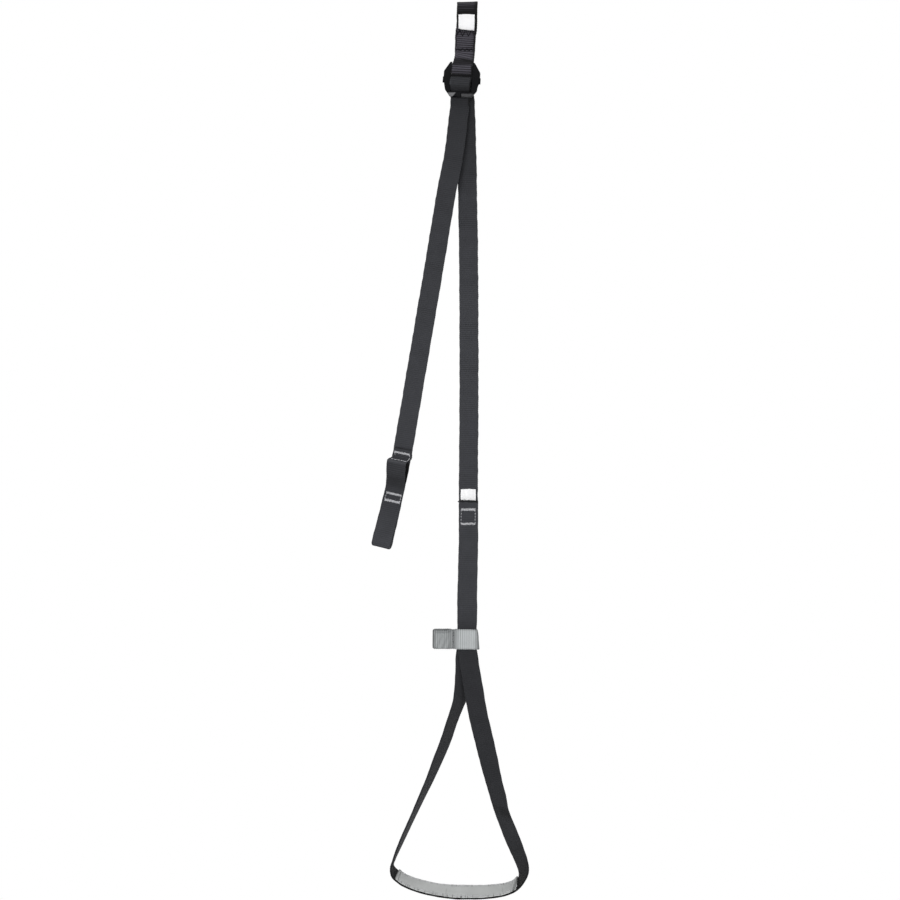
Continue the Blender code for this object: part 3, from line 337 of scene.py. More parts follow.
WRAP_END = -LOCK_BAR_DROP - LAYER_GAP * 2
BUCKLE_SIDE = tuple(buckle_place().to_3x3() @ Vector((1, 0, 0)))
LOCK_BAR_HEIGHT = in_buckle(0.0, 0.0, -LOCK_BAR_DROP)[2]
RISER_TOP = LOCK_BAR_HEIGHT - STRAND_LENGTH
RISER_FOOT = RISER_TOP - RISER_LENGTH


def riser_side(height):
    """The doubled riser's sideways place at a height."""
    part = (height - RISER_TOP) / (RISER_FOOT - RISER_TOP)
    return RISER_TOP_SIDE + (RISER_FOOT_SIDE - RISER_TOP_SIDE) * part


def wrap_route():
    """Over the lock bar, from the load side at the back to the tail side at the front."""
    arc = arc_points((0.0, -LOCK_BAR_DROP), WRAP_BEND, 0, 180, 13)
    rows = [(WRAP_LOAD_SIDE, WRAP_BEND, WRAP_END)]
    rows += [(x, y, z) for x, (y, z) in zip(np.linspace(WRAP_LOAD_SIDE, WRAP_TAIL_SIDE, len(arc)), arc)]
    rows.append((WRAP_TAIL_SIDE, -WRAP_BEND, WRAP_END))
    places = [in_buckle(*row) for row in smooth_rows(rows)]
    return Route(places, [BUCKLE_SIDE] * len(places))


def leaning_sides(places, settle):
    """Width directions that start along the adjuster's and soon lie square to the route."""
    sides = []
    for distance, tangent in zip(run_lengths(places), unit(np.gradient(places, axis=0))):
        own = unit(np.array((-tangent[2], 0.0, tangent[0])))
        part = smooth_step(distance / settle)
        sides.append(unit(np.array(BUCKLE_SIDE) * (1 - part) + own * part))
    return sides


# Sideways place and share of the length
LOAD_ROWS = [
    (-2.45, 0.042), (-1.85, 0.072), (-0.75, 0.148), (-0.3, 0.198), (0.3, 0.290),
    (1.2, 0.430), (1.6, 0.620), (1.6, 0.820), (1.1, 1.000),
]
# Left, forward and down from the lip
TAIL_ROWS = [(0.6, 0.9, 11), (1.8, 2.5, 21), (3.95, 4.4, 40), (6.8, 5.6, 60), (10.8, 6.4, 80)]
# The grip and the flat end above it: share of the grip's length, bulge and sideways shift
GRIP_ROWS = [
    (0.80, 0.25, 0.17), (0.55, 0.80, 0.47), (0.30, 1.00, 0.78), (0.08, 0.72, 1.00),
    (0.00, 0.00, 0.90), (-0.03, 0.00, 0.70), (-0.07, 0.00, 0.05), (-0.44, 0.00, 0.00),
]


def load_route():
    """From the back of the lock bar down to the riser."""
    rows = [in_buckle(WRAP_LOAD_SIDE, WRAP_BEND, WRAP_END - gap) for gap in (LAYER_GAP, LAYER_STEP)]
    drop = LOCK_BAR_HEIGHT - (RISER_TOP + STRAND_OVERLAP + LAYER_GAP)
    for side, share in LOAD_ROWS:
        rows.append((side, STRAND_DEPTH, LOCK_BAR_HEIGHT - share * drop))
    places = smooth_rows(rows)
    return Route(places, leaning_sides(places, STRAND_SETTLE))


def tail_route():
    """From the front of the lock bar, through the lower slot and behind the lip, down to the tab."""
    behind = LIP_BACK + LAYER_GAP + HALF
    rows = [
        in_buckle(WRAP_TAIL_SIDE, -WRAP_BEND, WRAP_END - LAYER_GAP),
        in_buckle(WRAP_TAIL_SIDE, -WRAP_BEND, -LOCK_BAR_DROP - WRAP_BEND),
        in_buckle(WRAP_TAIL_SIDE, behind - 0.25 * (behind + WRAP_BEND), -LIP_DROP + LIP_CLEARANCE),
        in_buckle(0.8 * WRAP_TAIL_SIDE, behind, -LIP_DROP + HALF),
        in_buckle(0.7 * WRAP_TAIL_SIDE, behind, -LIP_DROP - LIP_HEIGHT),
    ]
    x, y, z = rows[-1]
    for left, forward, down in TAIL_ROWS:
        rows.append((x - left, y - forward, z - down))
    x, y, z = rows[-1]
    for share in (0.33, 0.66, 1.0):
        down = (z - LOCK_BAR_HEIGHT + TAIL_LENGTH) * share
        rows.append((x - TAIL_SLOPE * down, y - TAIL_FORWARD * down, z - down))
    places = smooth_rows(rows)
    return Route(places, leaning_sides(places, TAIL_SETTLE))


def tab_route(start):
    """The tail's end: down the back layer, round the end fold and up the front layer to its cut end."""
    end = TAB_LENGTH - TAB_FOLD

    def slope(down):
        return TAB_SLOPE_TOP + (TAB_SLOPE_END - TAB_SLOPE_TOP) * down / TAB_LENGTH

    def middle(down):
        return -(TAB_SLOPE_TOP + slope(down)) / 2 * down

    rows = [(middle(down), 0.0, down) for down in np.linspace(0.0, end, 7)]
    rows += [(middle(down), y, down) for y, down in arc_points((-TAB_FOLD, end), TAB_FOLD, 0, 180, 7)[1:]]
    grip_end = GRIP_START + GRIP_LENGTH
    for down in (*np.linspace(end, grip_end + GRIP_CLEAR, 4)[1:], grip_end):
        rows.append((middle(down), -2 * TAB_FOLD, down))
    for share, bulge, shift in GRIP_ROWS:
        down = max(0.0, GRIP_START + GRIP_LENGTH * share)
        out = (GRIP_DEPTH - THICKNESS) * bulge
        rows.append((middle(down) + GRIP_SHIFT * shift, -2 * TAB_FOLD - out, down))
    places, sides = [], []
    x, y, z = start
    for side, forward, down in smooth_rows(rows):
        lean = math.atan(slope(down))
        places.append((x + side, y + forward - TAIL_FORWARD * down, z - LAYER_GAP - down))
        sides.append((math.cos(lean), 0.0, -math.sin(lean)))
    return Route(places, sides, square=False)


# The foot loop below the riser: sideways place, depth, drop, and the strap's turn in degrees: 0 faces the
# viewer, -90 stands edge on with its width running back.
FOOT_LOOP = [
    (-2.3, 2.8, 14.7, -3), (-2.7, 3.8, 24.4, -10), (-4.7, 5.0, 39.0, -31), (-7.4, 5.2, 48.8, -46),
    (-14.2, 5.0, 68.3, -56), (-20.7, 4.6, 87.8, -56.5), (-28.6, 4.2, 107.4, -60), (-36.7, 3.6, 126.9, -66.5),
    (-45.6, 3.0, 146.4, -71.5), (-54.6, 2.2, 165.9, -75.5), (-63.5, 1.4, 185.4, -77.5),
    (-67.8, 1.0, 195.2, -80), (-71.6, 0.6, 204.9, -84), (-73.4, 0.4, 210.6, -84), (-71.0, 0.2, 217.6, -70),
    (-64.6, 0.0, 223.2, -65),
    (-55.9, 0.0, 227.6, -64), (-43.2, 0.0, 231.6, -62), (-24.4, 0.0, 235.3, -59), (-2.0, 0.0, 236.8, -57),
    (22.4, 0.0, 236.0, -60), (37.1, 0.0, 233.9, -64), (46.8, 0.0, 230.0, -69), (52.9, 0.0, 223.7, -74),
    (54.7, 0.0, 215.0, -59), (52.3, 0.0, 204.9, -49), (48.6, -0.3, 195.2, -43.5), (44.6, -0.5, 185.4, -40),
    (36.9, -0.8, 165.9, -42.5), (33.2, -0.9, 156.1, -43), (30.8, -1.0, 146.4, -36), (25.7, -1.2, 126.9, -30),
    (21.0, -1.4, 107.4, -20), (16.4, -1.6, 87.8, -9), (11.7, -1.8, 68.3, -5), (8.0, -1.9, 48.8, -4),
    (6.3, -1.8, 39.0, -2), (3.8, -1.3, 24.4, 0), (1.6, -0.7, 9.8, 0),
]


def riser_rows(depth, way):
    """One riser layer from its top to just below the keeper. The two layers splay downwards."""
    rows = []
    for part in (0.0, 0.25, 0.5, 0.75, 1.0):
        height = RISER_TOP - part * RISER_LENGTH
        rows.append((riser_side(height) + way * RISER_SPLAY * part, depth, height, 0.0))
    height = RISER_FOOT - RISER_RUNOUT
    rows.append((riser_side(height) + way * RISER_RUNOUT_SPLAY, depth, height, 0.0))
    return rows


def step_route():
    """Down the back riser, round the foot loop and up the front riser to the cut end."""
    top = RISER_TOP + STRAND_OVERLAP
    rows = [(riser_side(top), BACK_RISER_DEPTH, top, 0.0)] + riser_rows(BACK_RISER_DEPTH, -1)
    rows += [(x, y, RISER_FOOT - drop, turn) for x, y, drop, turn in FOOT_LOOP]
    rows += reversed(riser_rows(FRONT_RISER_DEPTH, 1))
    read = smooth_rows(rows)
    places, turns = read[:, :3], np.radians(read[:, 3])
    lengths = run_lengths(places)
    near = np.flatnonzero(np.abs(lengths - lengths[np.argmin(places[:, 2])]) < TREAD_FLAT_LENGTH / 2)
    first, last = near[0], near[-1]
    shares = ((lengths[near] - lengths[first]) / (lengths[last] - lengths[first]))[:, None]
    places[near] = places[first] * (1 - shares) + places[last] * shares
    turns[near] = turns[near].mean()
    tangents = unit(np.gradient(places, axis=0))
    inward = unit(np.stack([-tangents[:, 2], 0 * turns, tangents[:, 0]], axis=1))
    sides = np.cos(turns)[:, None] * inward + np.sin(turns)[:, None] * np.array((0.0, -1.0, 0.0))
    return Route(places, sides)


# The keeper's closed band from above, in its own frame: sideways place and depth
KEEPER_LOOP = [
    (-4.0, 3.75), (-8.5, 3.72), (-10.9, 2.9), (-13.2, 1.45), (-15.4, 2.6), (-17.9, 3.6), (-24.5, 3.75),
    (-30.9, 3.5), (-32.6, 2.3), (-33.0, 0.75), (-32.6, -0.8), (-30.9, -1.95), (-24.5, -2.2), (-17.9, -2.1),
    (-15.4, -1.2), (-13.2, 0.05), (-11.0, -1.3), (-9.0, -2.15), (-4.0, -2.28), (4.0, -2.28), (8.8, -2.1),
    (10.6, -1.0), (11.0, 0.75), (10.6, 2.5), (8.8, 3.6), (4.0, 3.75), (-4.0, 3.75),
]
KEEPER_LOW = RISER_FOOT + KEEPER_RISE
KEEPER_SIDE = riser_side(KEEPER_LOW)


def keeper_route():
    """Once round the keeper's band, at half its height."""
    lean = math.atan2(RISER_TOP_SIDE - RISER_FOOT_SIDE, RISER_LENGTH)
    place = Matrix.Translation((KEEPER_SIDE, 0.0, KEEPER_LOW)) @ Matrix.Rotation(lean, 4, "Y")
    up = tuple(place.to_3x3() @ Vector((0, 0, 1)))
    rows = smooth_rows([(x, y, KEEPER_HEIGHT / 2) for x, y in KEEPER_LOOP])
    return Route([tuple(place @ Vector(row)) for row in rows], [up] * len(rows))


# How far the visible edges stray from the CAD strap's: height, shift of the left edge and of the right
SLING_SWAYS = [
    (2, 0, 0.3), (-45, 0.1, 0), (-49, 0.4, 0), (-53, 0.9, 0.4), (-57, 0.7, 0.8),
    (-60, 0.2, 0.4), (-62, -0.2, 0.1), (-67, -0.3, 0.4),
]
LOAD_SWAY = [(-60, 0, 0.7), (-86, 0, 0.7), (-92, 0, 0.0), (-470, 0, 0)]
RISER_SWAY = [
    (-480, 0, 0), (-496, 0.3, 0.5), (-520, 0.6, 0.6), (-536, 0.5, 0.5), (-556, 0.2, 0.1), (-575, 0, 0),
]
WRAP_SWAY = [(-60, -1.0, 1.1), (-76, -1.2, 1.1), (-80, -1.3, 0.7), (-87, -1.2, 0.5), (-93, 0, 0)]
BACK_TAB_SWAY = [(-490, 0, 0), (-506, 0.0, 0.35), (-540, 0.0, 0.35)]
TAB_FRONT_SHIFTS = [(-532, -1.25), (-470, -0.1)]
TAB_BACK_SHIFT = 0.35
TAB_CORNER = 1.5
# Heights of the two pairs of bars across the tab, and of the box stitch's bars
TAB_BARS = (-438.8, -445.2, -478.1, -484.9)
BOX_BARS = (-493.6, -507.4)


# Materials


class Nodes:
    """Shader nodes of a material or world. An input is a number, a colour or another node's output."""

    def __init__(self, owner):
        owner.use_nodes = True
        self.tree = owner.node_tree

    def put(self, socket, value):
        if isinstance(value, bpy.types.NodeSocket):
            self.tree.links.new(value, socket)
        else:
            socket.default_value = value

    def add(self, kind, *values, out=0, **settings):
        node = self.tree.nodes.new("ShaderNode" + kind)
        for key, value in settings.items():
            setattr(node, key, value)
        for socket, value in zip(node.inputs, values):
            if value is not None:
                self.put(socket, value)
        return node.outputs[out]

    def math(self, operation, a, b=0.0, c=0.0):
        return self.add("Math", a, b, c, operation=operation)

    def seen_by_view(self):
        """1 for the rays that show the background: camera, glossy and transmission rays."""
        rays = self.add("LightPath").node.outputs
        seen = self.math("MAXIMUM", rays["Is Camera Ray"], rays["Is Glossy Ray"])
        return self.math("MAXIMUM", seen, rays["Is Transmission Ray"])


class Finish(Nodes):
    """A node material."""

    def __init__(self, name, roughness, sheen=0.0, specular=0.5):
        self.material = bpy.data.materials.new(name)
        super().__init__(self.material)
        self.inputs = self.tree.nodes["Principled BSDF"].inputs
        self.inputs["Roughness"].default_value = roughness
        self.inputs["Sheen Weight"].default_value = sheen
        self.inputs["Specular IOR Level"].default_value = specular

    def strap_at(self):
        return self.add("Attribute", attribute_name="strap_at", out=1)

    def noise(self, vector, scale, detail=2.0):
        return self.add("TexNoise", vector, None, scale, detail)

    def strap_noise(self, along, across, detail=2.0):
        """Noise on the strap, so many to the metre along and across."""
        return self.noise(self.add("Mapping", self.strap_at(), None, None, (along, across, 1.0)), 1.0, detail)

    def split(self, vector):
        return self.add("SeparateXYZ", vector).node.outputs

    def product(self, *values):
        value = values[0]
        for other in values[1:]:
            value = self.math("MULTIPLY", value, other)
        return value

    def ramp(self, value, start, end, low=0.0, high=1.0):
        """From low where the value is start to high where it is end."""
        return self.add("MapRange", value, start, end, low, high)

    def mixed(self, share, first, second):
        """The first colour, or the second where the share is 1."""
        colour = self.add("Mix", share, data_type="RGBA", out=2)
        self.put(colour.node.inputs[6], first)
        self.put(colour.node.inputs[7], second)
        return colour

    def spread(self, value, low, high):
        """Turn a value of 0 to 1 into one of low to high."""
        return self.math("MULTIPLY_ADD", value, high - low, low)

    def shade(self, colour, *factors):
        """A colour made lighter or darker by the product of the factors."""
        return self.add("HueSaturation", 0.5, 1.0, self.product(*factors), 1.0, colour)

    def close(self, colour, height, distance, roughness=None):
        """Link the colour and the bump, and give the material back."""
        self.put(self.inputs["Base Color"], colour)
        if roughness is not None:
            self.put(self.inputs["Roughness"], roughness)
        bump = self.add("Bump").node
        bump.inputs["Distance"].default_value = distance * MM
        self.put(bump.inputs["Height"], height)
        self.put(self.inputs["Normal"], bump.outputs[0])
        return self.material


def woven_finish(name, colour, pitch, yarn, valley_shade, grain, bump, sheen=0.06):
    """Cloth whose ribs have a pitch, with yarns across them. Valleys between ribs get painted shade."""
    finish = Finish(name, 0.9, sheen, CLOTH_SPECULAR)
    along, across, rib = finish.split(finish.strap_at())
    # The tone attribute scales the colour: the painted light and shade set on each mesh, and the tread's
    # specks.
    tone = finish.add("Attribute", attribute_name="tone", out=2)
    streaks = finish.spread(finish.strap_noise(95.0, 14.0), -0.6, 2.6)
    # Painted shade in the rib valleys, varied in streaks
    sunk = finish.product(finish.math("SUBTRACT", 1.0, rib), streaks)
    yarns = finish.math("SINE", finish.product(across, 2 * math.pi / (yarn * MM)))
    turns = finish.math("COSINE", finish.product(along, math.pi / (pitch * MM)))
    weave = finish.product(yarns, turns)
    fibres = finish.strap_noise(9000.0, 2500.0, 3.0)
    cloudy = finish.strap_noise(70.0, 110.0)
    shaded = finish.shade(
        colour,
        tone,
        finish.spread(sunk, 1.0, valley_shade),
        finish.spread(weave, 1.0 - grain, 1.0 + grain),
        finish.spread(fibres, 1.0 - 2 * grain, 1.0 + 2 * grain),
        finish.spread(cloudy, 0.86, 1.14),
    )
    height = finish.math("MULTIPLY_ADD", fibres, 0.8, weave)
    return finish.close(shaded, height, bump, finish.spread(fibres, 0.8, 1.0))


def thread_finish(name, colour, specular=0.5, sheen=0.1):
    """Twisted sewing thread."""
    finish = Finish(name, 0.6, sheen, specular)
    along, turn, _ = finish.split(finish.strap_at())
    twist = finish.math("SINE", finish.math("MULTIPLY_ADD", along, 2 * math.pi / (TWIST_PITCH * MM), turn))
    fibres = finish.strap_noise(6000.0, 1.0)
    shaded = finish.shade(colour, finish.spread(twist, 0.9, 1.06), finish.spread(fibres, 0.85, 1.15))
    return finish.close(shaded, twist, 0.04)


def metal_finish(name, colour):
    """Black hard-coated alloy, worn brighter on its edges, with painted highlights at two places of the lower
    lip.
    """
    finish = Finish(name, 0.45, specular=METAL_SPECULAR)
    place = finish.add("TexCoord", out=3)
    fine = finish.noise(place, 2600.0, 3.0)
    broad = finish.noise(place, 160.0, 3.0)
    edge = finish.add("NewGeometry").node.outputs["Pointiness"]
    worn = finish.mixed(finish.ramp(edge, 0.52, 0.60, 0.0, 0.35), colour, srgb(46, 46, 49))
    x, _, z = finish.split(place)
    # Painted highlights: a slanted wedge at the lip's left and a patch at its right
    low = finish.ramp(z, LIP_HIGHLIGHT_TOP * MM, (LIP_HIGHLIGHT_TOP - 0.8) * MM)
    lower = finish.ramp(z, (LIP_HIGHLIGHT_TOP - 1.6) * MM, (LIP_HIGHLIGHT_TOP - 2.4) * MM, 0.0, 0.35)
    slant = finish.math("MULTIPLY_ADD", z, LIP_HIGHLIGHT_SLANT, x)
    left = finish.product(low, finish.ramp(slant, (LIP_HIGHLIGHT_WEDGE + 0.4) * MM, (LIP_HIGHLIGHT_WEDGE - 0.4) * MM))
    right = finish.product(finish.ramp(x, LIP_HIGHLIGHT_PATCH * MM, (LIP_HIGHLIGHT_PATCH + 0.7) * MM), lower)
    wear_and_lip_highlight = finish.mixed(finish.math("MAXIMUM", left, right), worn, srgb(112, 112, 114))
    shaded = finish.shade(wear_and_lip_highlight, finish.spread(fine, 0.9, 1.1), finish.spread(broad, 0.85, 1.15))
    rough = finish.math("MULTIPLY_ADD", broad, 0.16, finish.spread(fine, 0.3, 0.42))
    return finish.close(shaded, fine, 0.02, rough)


WEBBING = woven_finish("webbing", srgb(62, 63, 67), RIB_PITCH, YARN_PITCH, 0.66, 0.035, 0.07)
SLING_WEBBING = woven_finish("sling_webbing", srgb(70, 68, 75), SLING_RIB_PITCH, YARN_PITCH, 0.42, 0.04, 0.08)
TREAD_CLOTH = woven_finish("tread_cloth", srgb(197, 199, 198), 0.9, 0.9, 0.9, 0.04, 0.05)
ELASTIC = woven_finish("elastic", srgb(194, 198, 199), ELASTIC_PITCH, 0.7, 0.62, 0.04, 0.06)
LABEL = woven_finish("label_cloth", srgb(254, 254, 255), 0.42, 0.42, 0.99, 0.008, 0.02, 0.0)
BLACK_THREAD = thread_finish("black_thread", srgb(13, 13, 16), 0.05, 0.0)
GREY_THREAD = thread_finish("grey_thread", srgb(212, 212, 216))
KEEPER_THREAD = thread_finish("keeper_thread", srgb(118, 120, 122))
METAL = metal_finish("black_metal", srgb(9, 9, 11))


# Painted light and shade: webbing is painted greyer where it is taut and lit, and darker in its folds, its
# own shade and each crease

PLAIN_LEVEL = 65
SHINE = 0.006


def light(level):
    return ((level / 255 + 0.055) / 1.055) ** 2.4


def tone_of(level):
    """How much of its own colour webbing keeps where it is painted to be seen at a grey level."""
    return np.maximum(0.02, (light(level) - SHINE) / (light(PLAIN_LEVEL) - SHINE))


def ramp(value, start, run):
    """From 0 at the start to 1 after the run, and level outside."""
    return np.clip((value - start) / run, 0, 1)


def soft_box(value, low, high, edge):
    """1 between low and high and 0 outside, with soft edges."""
    rise = ramp(value, low - edge / 2, edge)
    fall = ramp(-value, -high - edge / 2, edge)
    return rise * rise * (3 - 2 * rise) * fall * fall * (3 - 2 * fall)


def darkened(level, *shares):
    """A level made darker by each share of it."""
    for share in shares:
        level = level * (1 - share)
    return level


def level_at(height, rows):
    heights, levels = np.array(sorted(rows)).T
    return np.interp(height, heights, levels)


def shaded(height, shades, shade_bands=()):
    """Painted grey level at a height. Shades are (height, level), and shade bands (height, reach, how much
    darker).
    """
    dark = (depth * soft_box(height, at - reach, at + reach, reach) for at, reach, depth in shade_bands)
    return darkened(level_at(height, shades), *dark)


# Painted shade by height on each strap: (height, grey level)
LOAD_SHADES = [(-70, 34), (-104, 42), (-153, 53), (-192, 60), (-289, 66)]
TAIL_SHADES = [(-72, 55), (-79, 54), (-86, 40), (-104, 50), (-172, 58), (-289, 62), (-435, 65), (-532, 65)]
# Painted shadow under the lip
TAIL_SHADE_BANDS = [(-88.5, 3.2, 0.42)]
TAB_SHADES = [(-434, 61), (-462, 56), (-476, 58), (-494, 63), (-524, 69), (-531, 64)]
# A painted highlight below the upper tack, and painted shade across the grip
TAB_SHADE_BANDS = [(-447, 1.8, -0.3), (-466, 5, 0.13)]
STEP_SHADES = [(-466, 65), (-590, 64), (-612, 54), (-636, 49), (-758, 49), (-806, 51), (-836, 44), (-862, 31)]
# Painted shade by height on the sling: dark at the eye's top and under the bar, lighter over the sewn part
SLING_SHADES = [
    (1, 20), (-1, 55), (-8, 52), (-10, 40), (-25, 56), (-33, 76), (-65, 77), (-68.5, 64), (-71, 14),
]
# Painted shade bands: dark rib lines near the eye's top, the shadow above the label, a line at a tack row and
# the fold's shadow above the bar
SLING_SHADE_BANDS = [(-4.6, 0.8, 0.3), (-7.2, 0.8, 0.3), (-9.2, 1.1, 0.75), (-45, 0.9, 0.2), (-58.0, 2.9, 0.5)]
# Sideways slope of the sling's painted shade bands
SLING_LOW_SIDE = 0.061
# Grey levels of painted shade: the shaded right edge of the eye's front leg, and the layers behind
SHADED_EDGE_LEVEL = 14
SHADOWED_LAYER_LEVEL = 18
# Painted shade in the sling's rib valleys by height: (height, how much darker)
SLING_RIB_SHADES = [
    (0, 0.1), (-5, 0.8), (-9, 0.8), (-27, 0.3), (-40, 0.7), (-50, 0.3), (-60, 0.3), (-66, 0.6),
]
# By sideways place on the keeper: share of its own colour, as painted shade on its folded ends and pockets
KEEPER_SHADES = [
    (-33, 0.42), (-31.5, 0.52), (-30, 0.76), (-19, 0.66), (-16.5, 0.54), (-15, 0.68),
    (-11.5, 0.66), (-10, 0.76), (-8, 1.0), (7, 1.0), (9.5, 0.72), (11, 0.48),
]


# Meshes


def link(name, data):
    """A new object in the scene."""
    thing = bpy.data.objects.new(name, data)
    bpy.context.collection.objects.link(thing)
    return thing


def add_mesh(name, points, faces, places, material, tone=None):
    """A smooth-shaded mesh object. Places are the points' along, across and rib height."""
    mesh = bpy.data.meshes.new(name)
    mesh.from_pydata((points * MM).tolist(), [], faces)
    mesh.polygons.foreach_set("use_smooth", [True] * len(mesh.polygons))
    mesh.attributes.new("strap_at", "FLOAT_VECTOR", "POINT").data.foreach_set("vector", places.ravel())
    tones = np.ones(len(points)) if tone is None else np.ravel(tone)
    mesh.attributes.new("tone", "FLOAT", "POINT").data.foreach_set("value", tones)
    mesh.materials.append(material)
    return link(name, mesh)


def ring_faces(rows, count, closed=False):
    """Quads between rings of points, with the ends capped or the last ring joined to the first."""
    faces = []
    for r in range(rows if closed else rows - 1):
        a, b = r * count, (r + 1) % rows * count
        for k in range(count):
            j = (k + 1) % count
            faces.append((a + k, a + j, b + j, b + k))
    if not closed:
        faces.append(tuple(range(count))[::-1])
        faces.append(tuple(range((rows - 1) * count, rows * count)))
    return faces


# A quarter of a strap's section, from the middle of its face to its edge: shares of the half width and
# of the half thickness
QUARTER = [(0.0, 1.0), (0.30, 1.0), (0.58, 1.0), (0.80, 0.99), (0.91, 0.93), (0.965, 0.74), (0.992, 0.40)]
RIGHT = QUARTER + [(1.0, 0.0)] + [(a, -h) for a, h in reversed(QUARTER)]
SECTION = np.array(RIGHT + [(-a, h) for a, h in reversed(RIGHT[1:-1])])


def rib_height(along, pitch):
    """Height of the weave's ribs, 0 in the valleys and 1 on the crowns."""
    return np.abs(np.sin(np.pi * along / pitch)) ** 0.7


def ribbon(name, route, material, start=0.0, end=None, width=STRAP_WIDTH, thickness=THICKNESS, lift=0.0,
           pitch=RIB_PITCH, depth=RIB_DEPTH, phase=0.0, closed=False, shape=None, tone=None, rows=RIB_ROWS):
    """Sweep a woven strap along a route.

    shape(along, across, face) gives shifts along, across and out, and tone(along, across, face) how
    light the strap is painted, for its light and shade. The selvages are notched deeper than the face's ribs.
    """
    end = route.length if end is None else end
    if closed:
        count = round((end - start) / pitch) * rows
        pitch = (end - start) / (count / rows)
        along = np.linspace(start, end, count, endpoint=False)
    else:
        along = np.linspace(start, end, max(3, round((end - start) / (pitch / rows)) + 1))
    wide, thick = SECTION[None, :, 0], SECTION[None, :, 1]
    along = np.repeat(along[:, None], len(SECTION), axis=1)
    rib = rib_height(along + phase, pitch)
    sunk = depth * (1 - rib)
    across = wide * width / 2 - np.sign(wide) * SELVAGE_NOTCH * sunk * (np.abs(wide) > 0.9)
    height = thick * thickness / 2 - np.sign(thick) * sunk * np.abs(thick)
    face = np.sign(thick) + 0 * along
    tones = None if tone is None else tone(along, across, face)
    read = along
    if shape is not None:
        slide, side, out = shape(along, across, face)
        read, across, height = along + slide, across + side, height + out
    points = route.on_face(read.ravel(), across.ravel(), height.ravel() + lift)
    places = np.stack([(along + phase) * MM, across * MM, rib], axis=-1).reshape(-1, 3)
    return add_mesh(name, points, ring_faces(len(along), len(SECTION), closed), places, material, tones)


def wavy(along, across, size, seed):
    """A slow, repeatable waviness of a strap."""
    rng = np.random.default_rng(seed)
    out = 0.0 * along
    for wave in WAVE_LENGTHS:
        turn = rng.uniform(0, 2 * math.pi, 2)
        out = out + np.sin(2 * math.pi * along / wave + turn[0] + across / STRAP_WIDTH * np.cos(turn[1]))
    return out * size / 2


def strap_shape(seed, dents=(), cuts=()):
    """A strap's own irregularities: slow waves, a thicker selvage, dents at seams, and cut ends.

    A dent is (start, end, half width, depth, side): side 1 is the face the route's normal is on.
    A cut is (where, slant, how torn).
    """
    half = STRAP_WIDTH / 2

    def shape(along, across, face):
        slide = 0.0 * along
        side = wavy(along, 0, 1.3 * WAVE, seed) + np.sign(across) * wavy(along, across, WAVE, seed + 1)
        selvage = SELVAGE_RISE * (soft_box(np.abs(across), half - 1.9, half + 1, 0.9) - 0.6)
        out = wavy(along, across, 0.5 * WAVE, seed + 2) + face * selvage
        for start, end, reach, depth, which in dents:
            at = soft_box(along, start, end, 1.2) * soft_box(np.abs(across), -1.0, reach, 1.5)
            out = out - which * depth * at * (face == which)
        rng = np.random.default_rng(seed + 3)
        for where, slant, tear in cuts:
            gap = np.abs(along - where)
            turn = rng.uniform(0, 6.28, 4)
            torn = sum(np.sin(across / w + t) for w, t in zip(TEAR_LENGTHS, turn)) * 0.11
            slide = slide + (1 - ramp(gap, 0, 5)) ** 2 * (slant * across / half + torn * tear)
            out = out + face * 0.14 * (1 - ramp(gap, 0, 0.9))
        return slide, side, out

    return shape


def swayed(shape, route, rows):
    """A shape that is also shifted by height: rows of height, left edge's shift and right edge's."""
    heights, left, right = np.array(sorted(rows)).T

    def moved(along, across, face):
        slide, side, out = shape(along, across, face)
        height = route.height(along)
        way = np.sign(route.column(along, route.sides, 0))
        share = 0.5 + way * across / STRAP_WIDTH
        shift = np.interp(height, heights, left) * (1 - share) + np.interp(height, heights, right) * share
        return slide, side + way * shift, out

    return moved


def tubes(name, paths, radius, material, sides=6):
    """Threads: one closed tube for each path of points."""
    points, places, faces, base = [], [], [], 0
    angles = 2 * np.pi * np.arange(sides) / sides
    for path in paths:
        tangents = unit(np.gradient(path, axis=0))
        first = unit(np.cross(tangents, (0.31, 0.77, 0.55)))
        second = np.cross(tangents, first)
        reach = np.full((len(path), 1, 1), radius)
        reach[[0, -1]] *= 0.7
        ring = first[:, None] * np.cos(angles)[:, None] + second[:, None] * np.sin(angles)[:, None]
        points.append((path[:, None] + reach * ring).reshape(-1, 3))
        run = run_lengths(path)[:, None] * MM + 0 * angles
        places.append(np.stack([run, angles + 0 * run, 1 + 0 * run], axis=-1).reshape(-1, 3))
        faces += [tuple(base + i for i in face) for face in ring_faces(len(path), sides)]
        base += len(path) * sides
    return add_mesh(name, np.vstack(points), faces, np.vstack(places), material)


def stitch(route, lift, first, last, rise=1.0):
    """One stitch on a face, from (along, across) to (along, across), diving in at both ends."""
    t = np.linspace(0, 1, 7)
    bow = rise * 1.5 * np.sin(np.pi * t) ** 0.5 - 0.7
    along, across = (a + (b - a) * t for a, b in zip(first, last))
    return route.on_face(along, across, lift + math.copysign(THREAD_RADIUS, lift) * bow)


def tack(route, lift, centre, height, half, pitch, seed, shift=0.0):
    """A bar tack round a distance: threads run to and fro along the strap while the row goes across."""
    rng = np.random.default_rng(seed)
    count = max(2, round(2 * half / pitch))
    stops = np.linspace(shift - half, shift + half, count + 1)
    ends = [centre + height / 2 * (-1 if k % 2 else 1) + rng.uniform(-0.25, 0.25) for k in range(count + 1)]
    spots = list(zip(ends, stops))
    return [stitch(route, lift, *pair, 1.0 + 0.35 * rng.uniform(-1, 1)) for pair in zip(spots, spots[1:])]


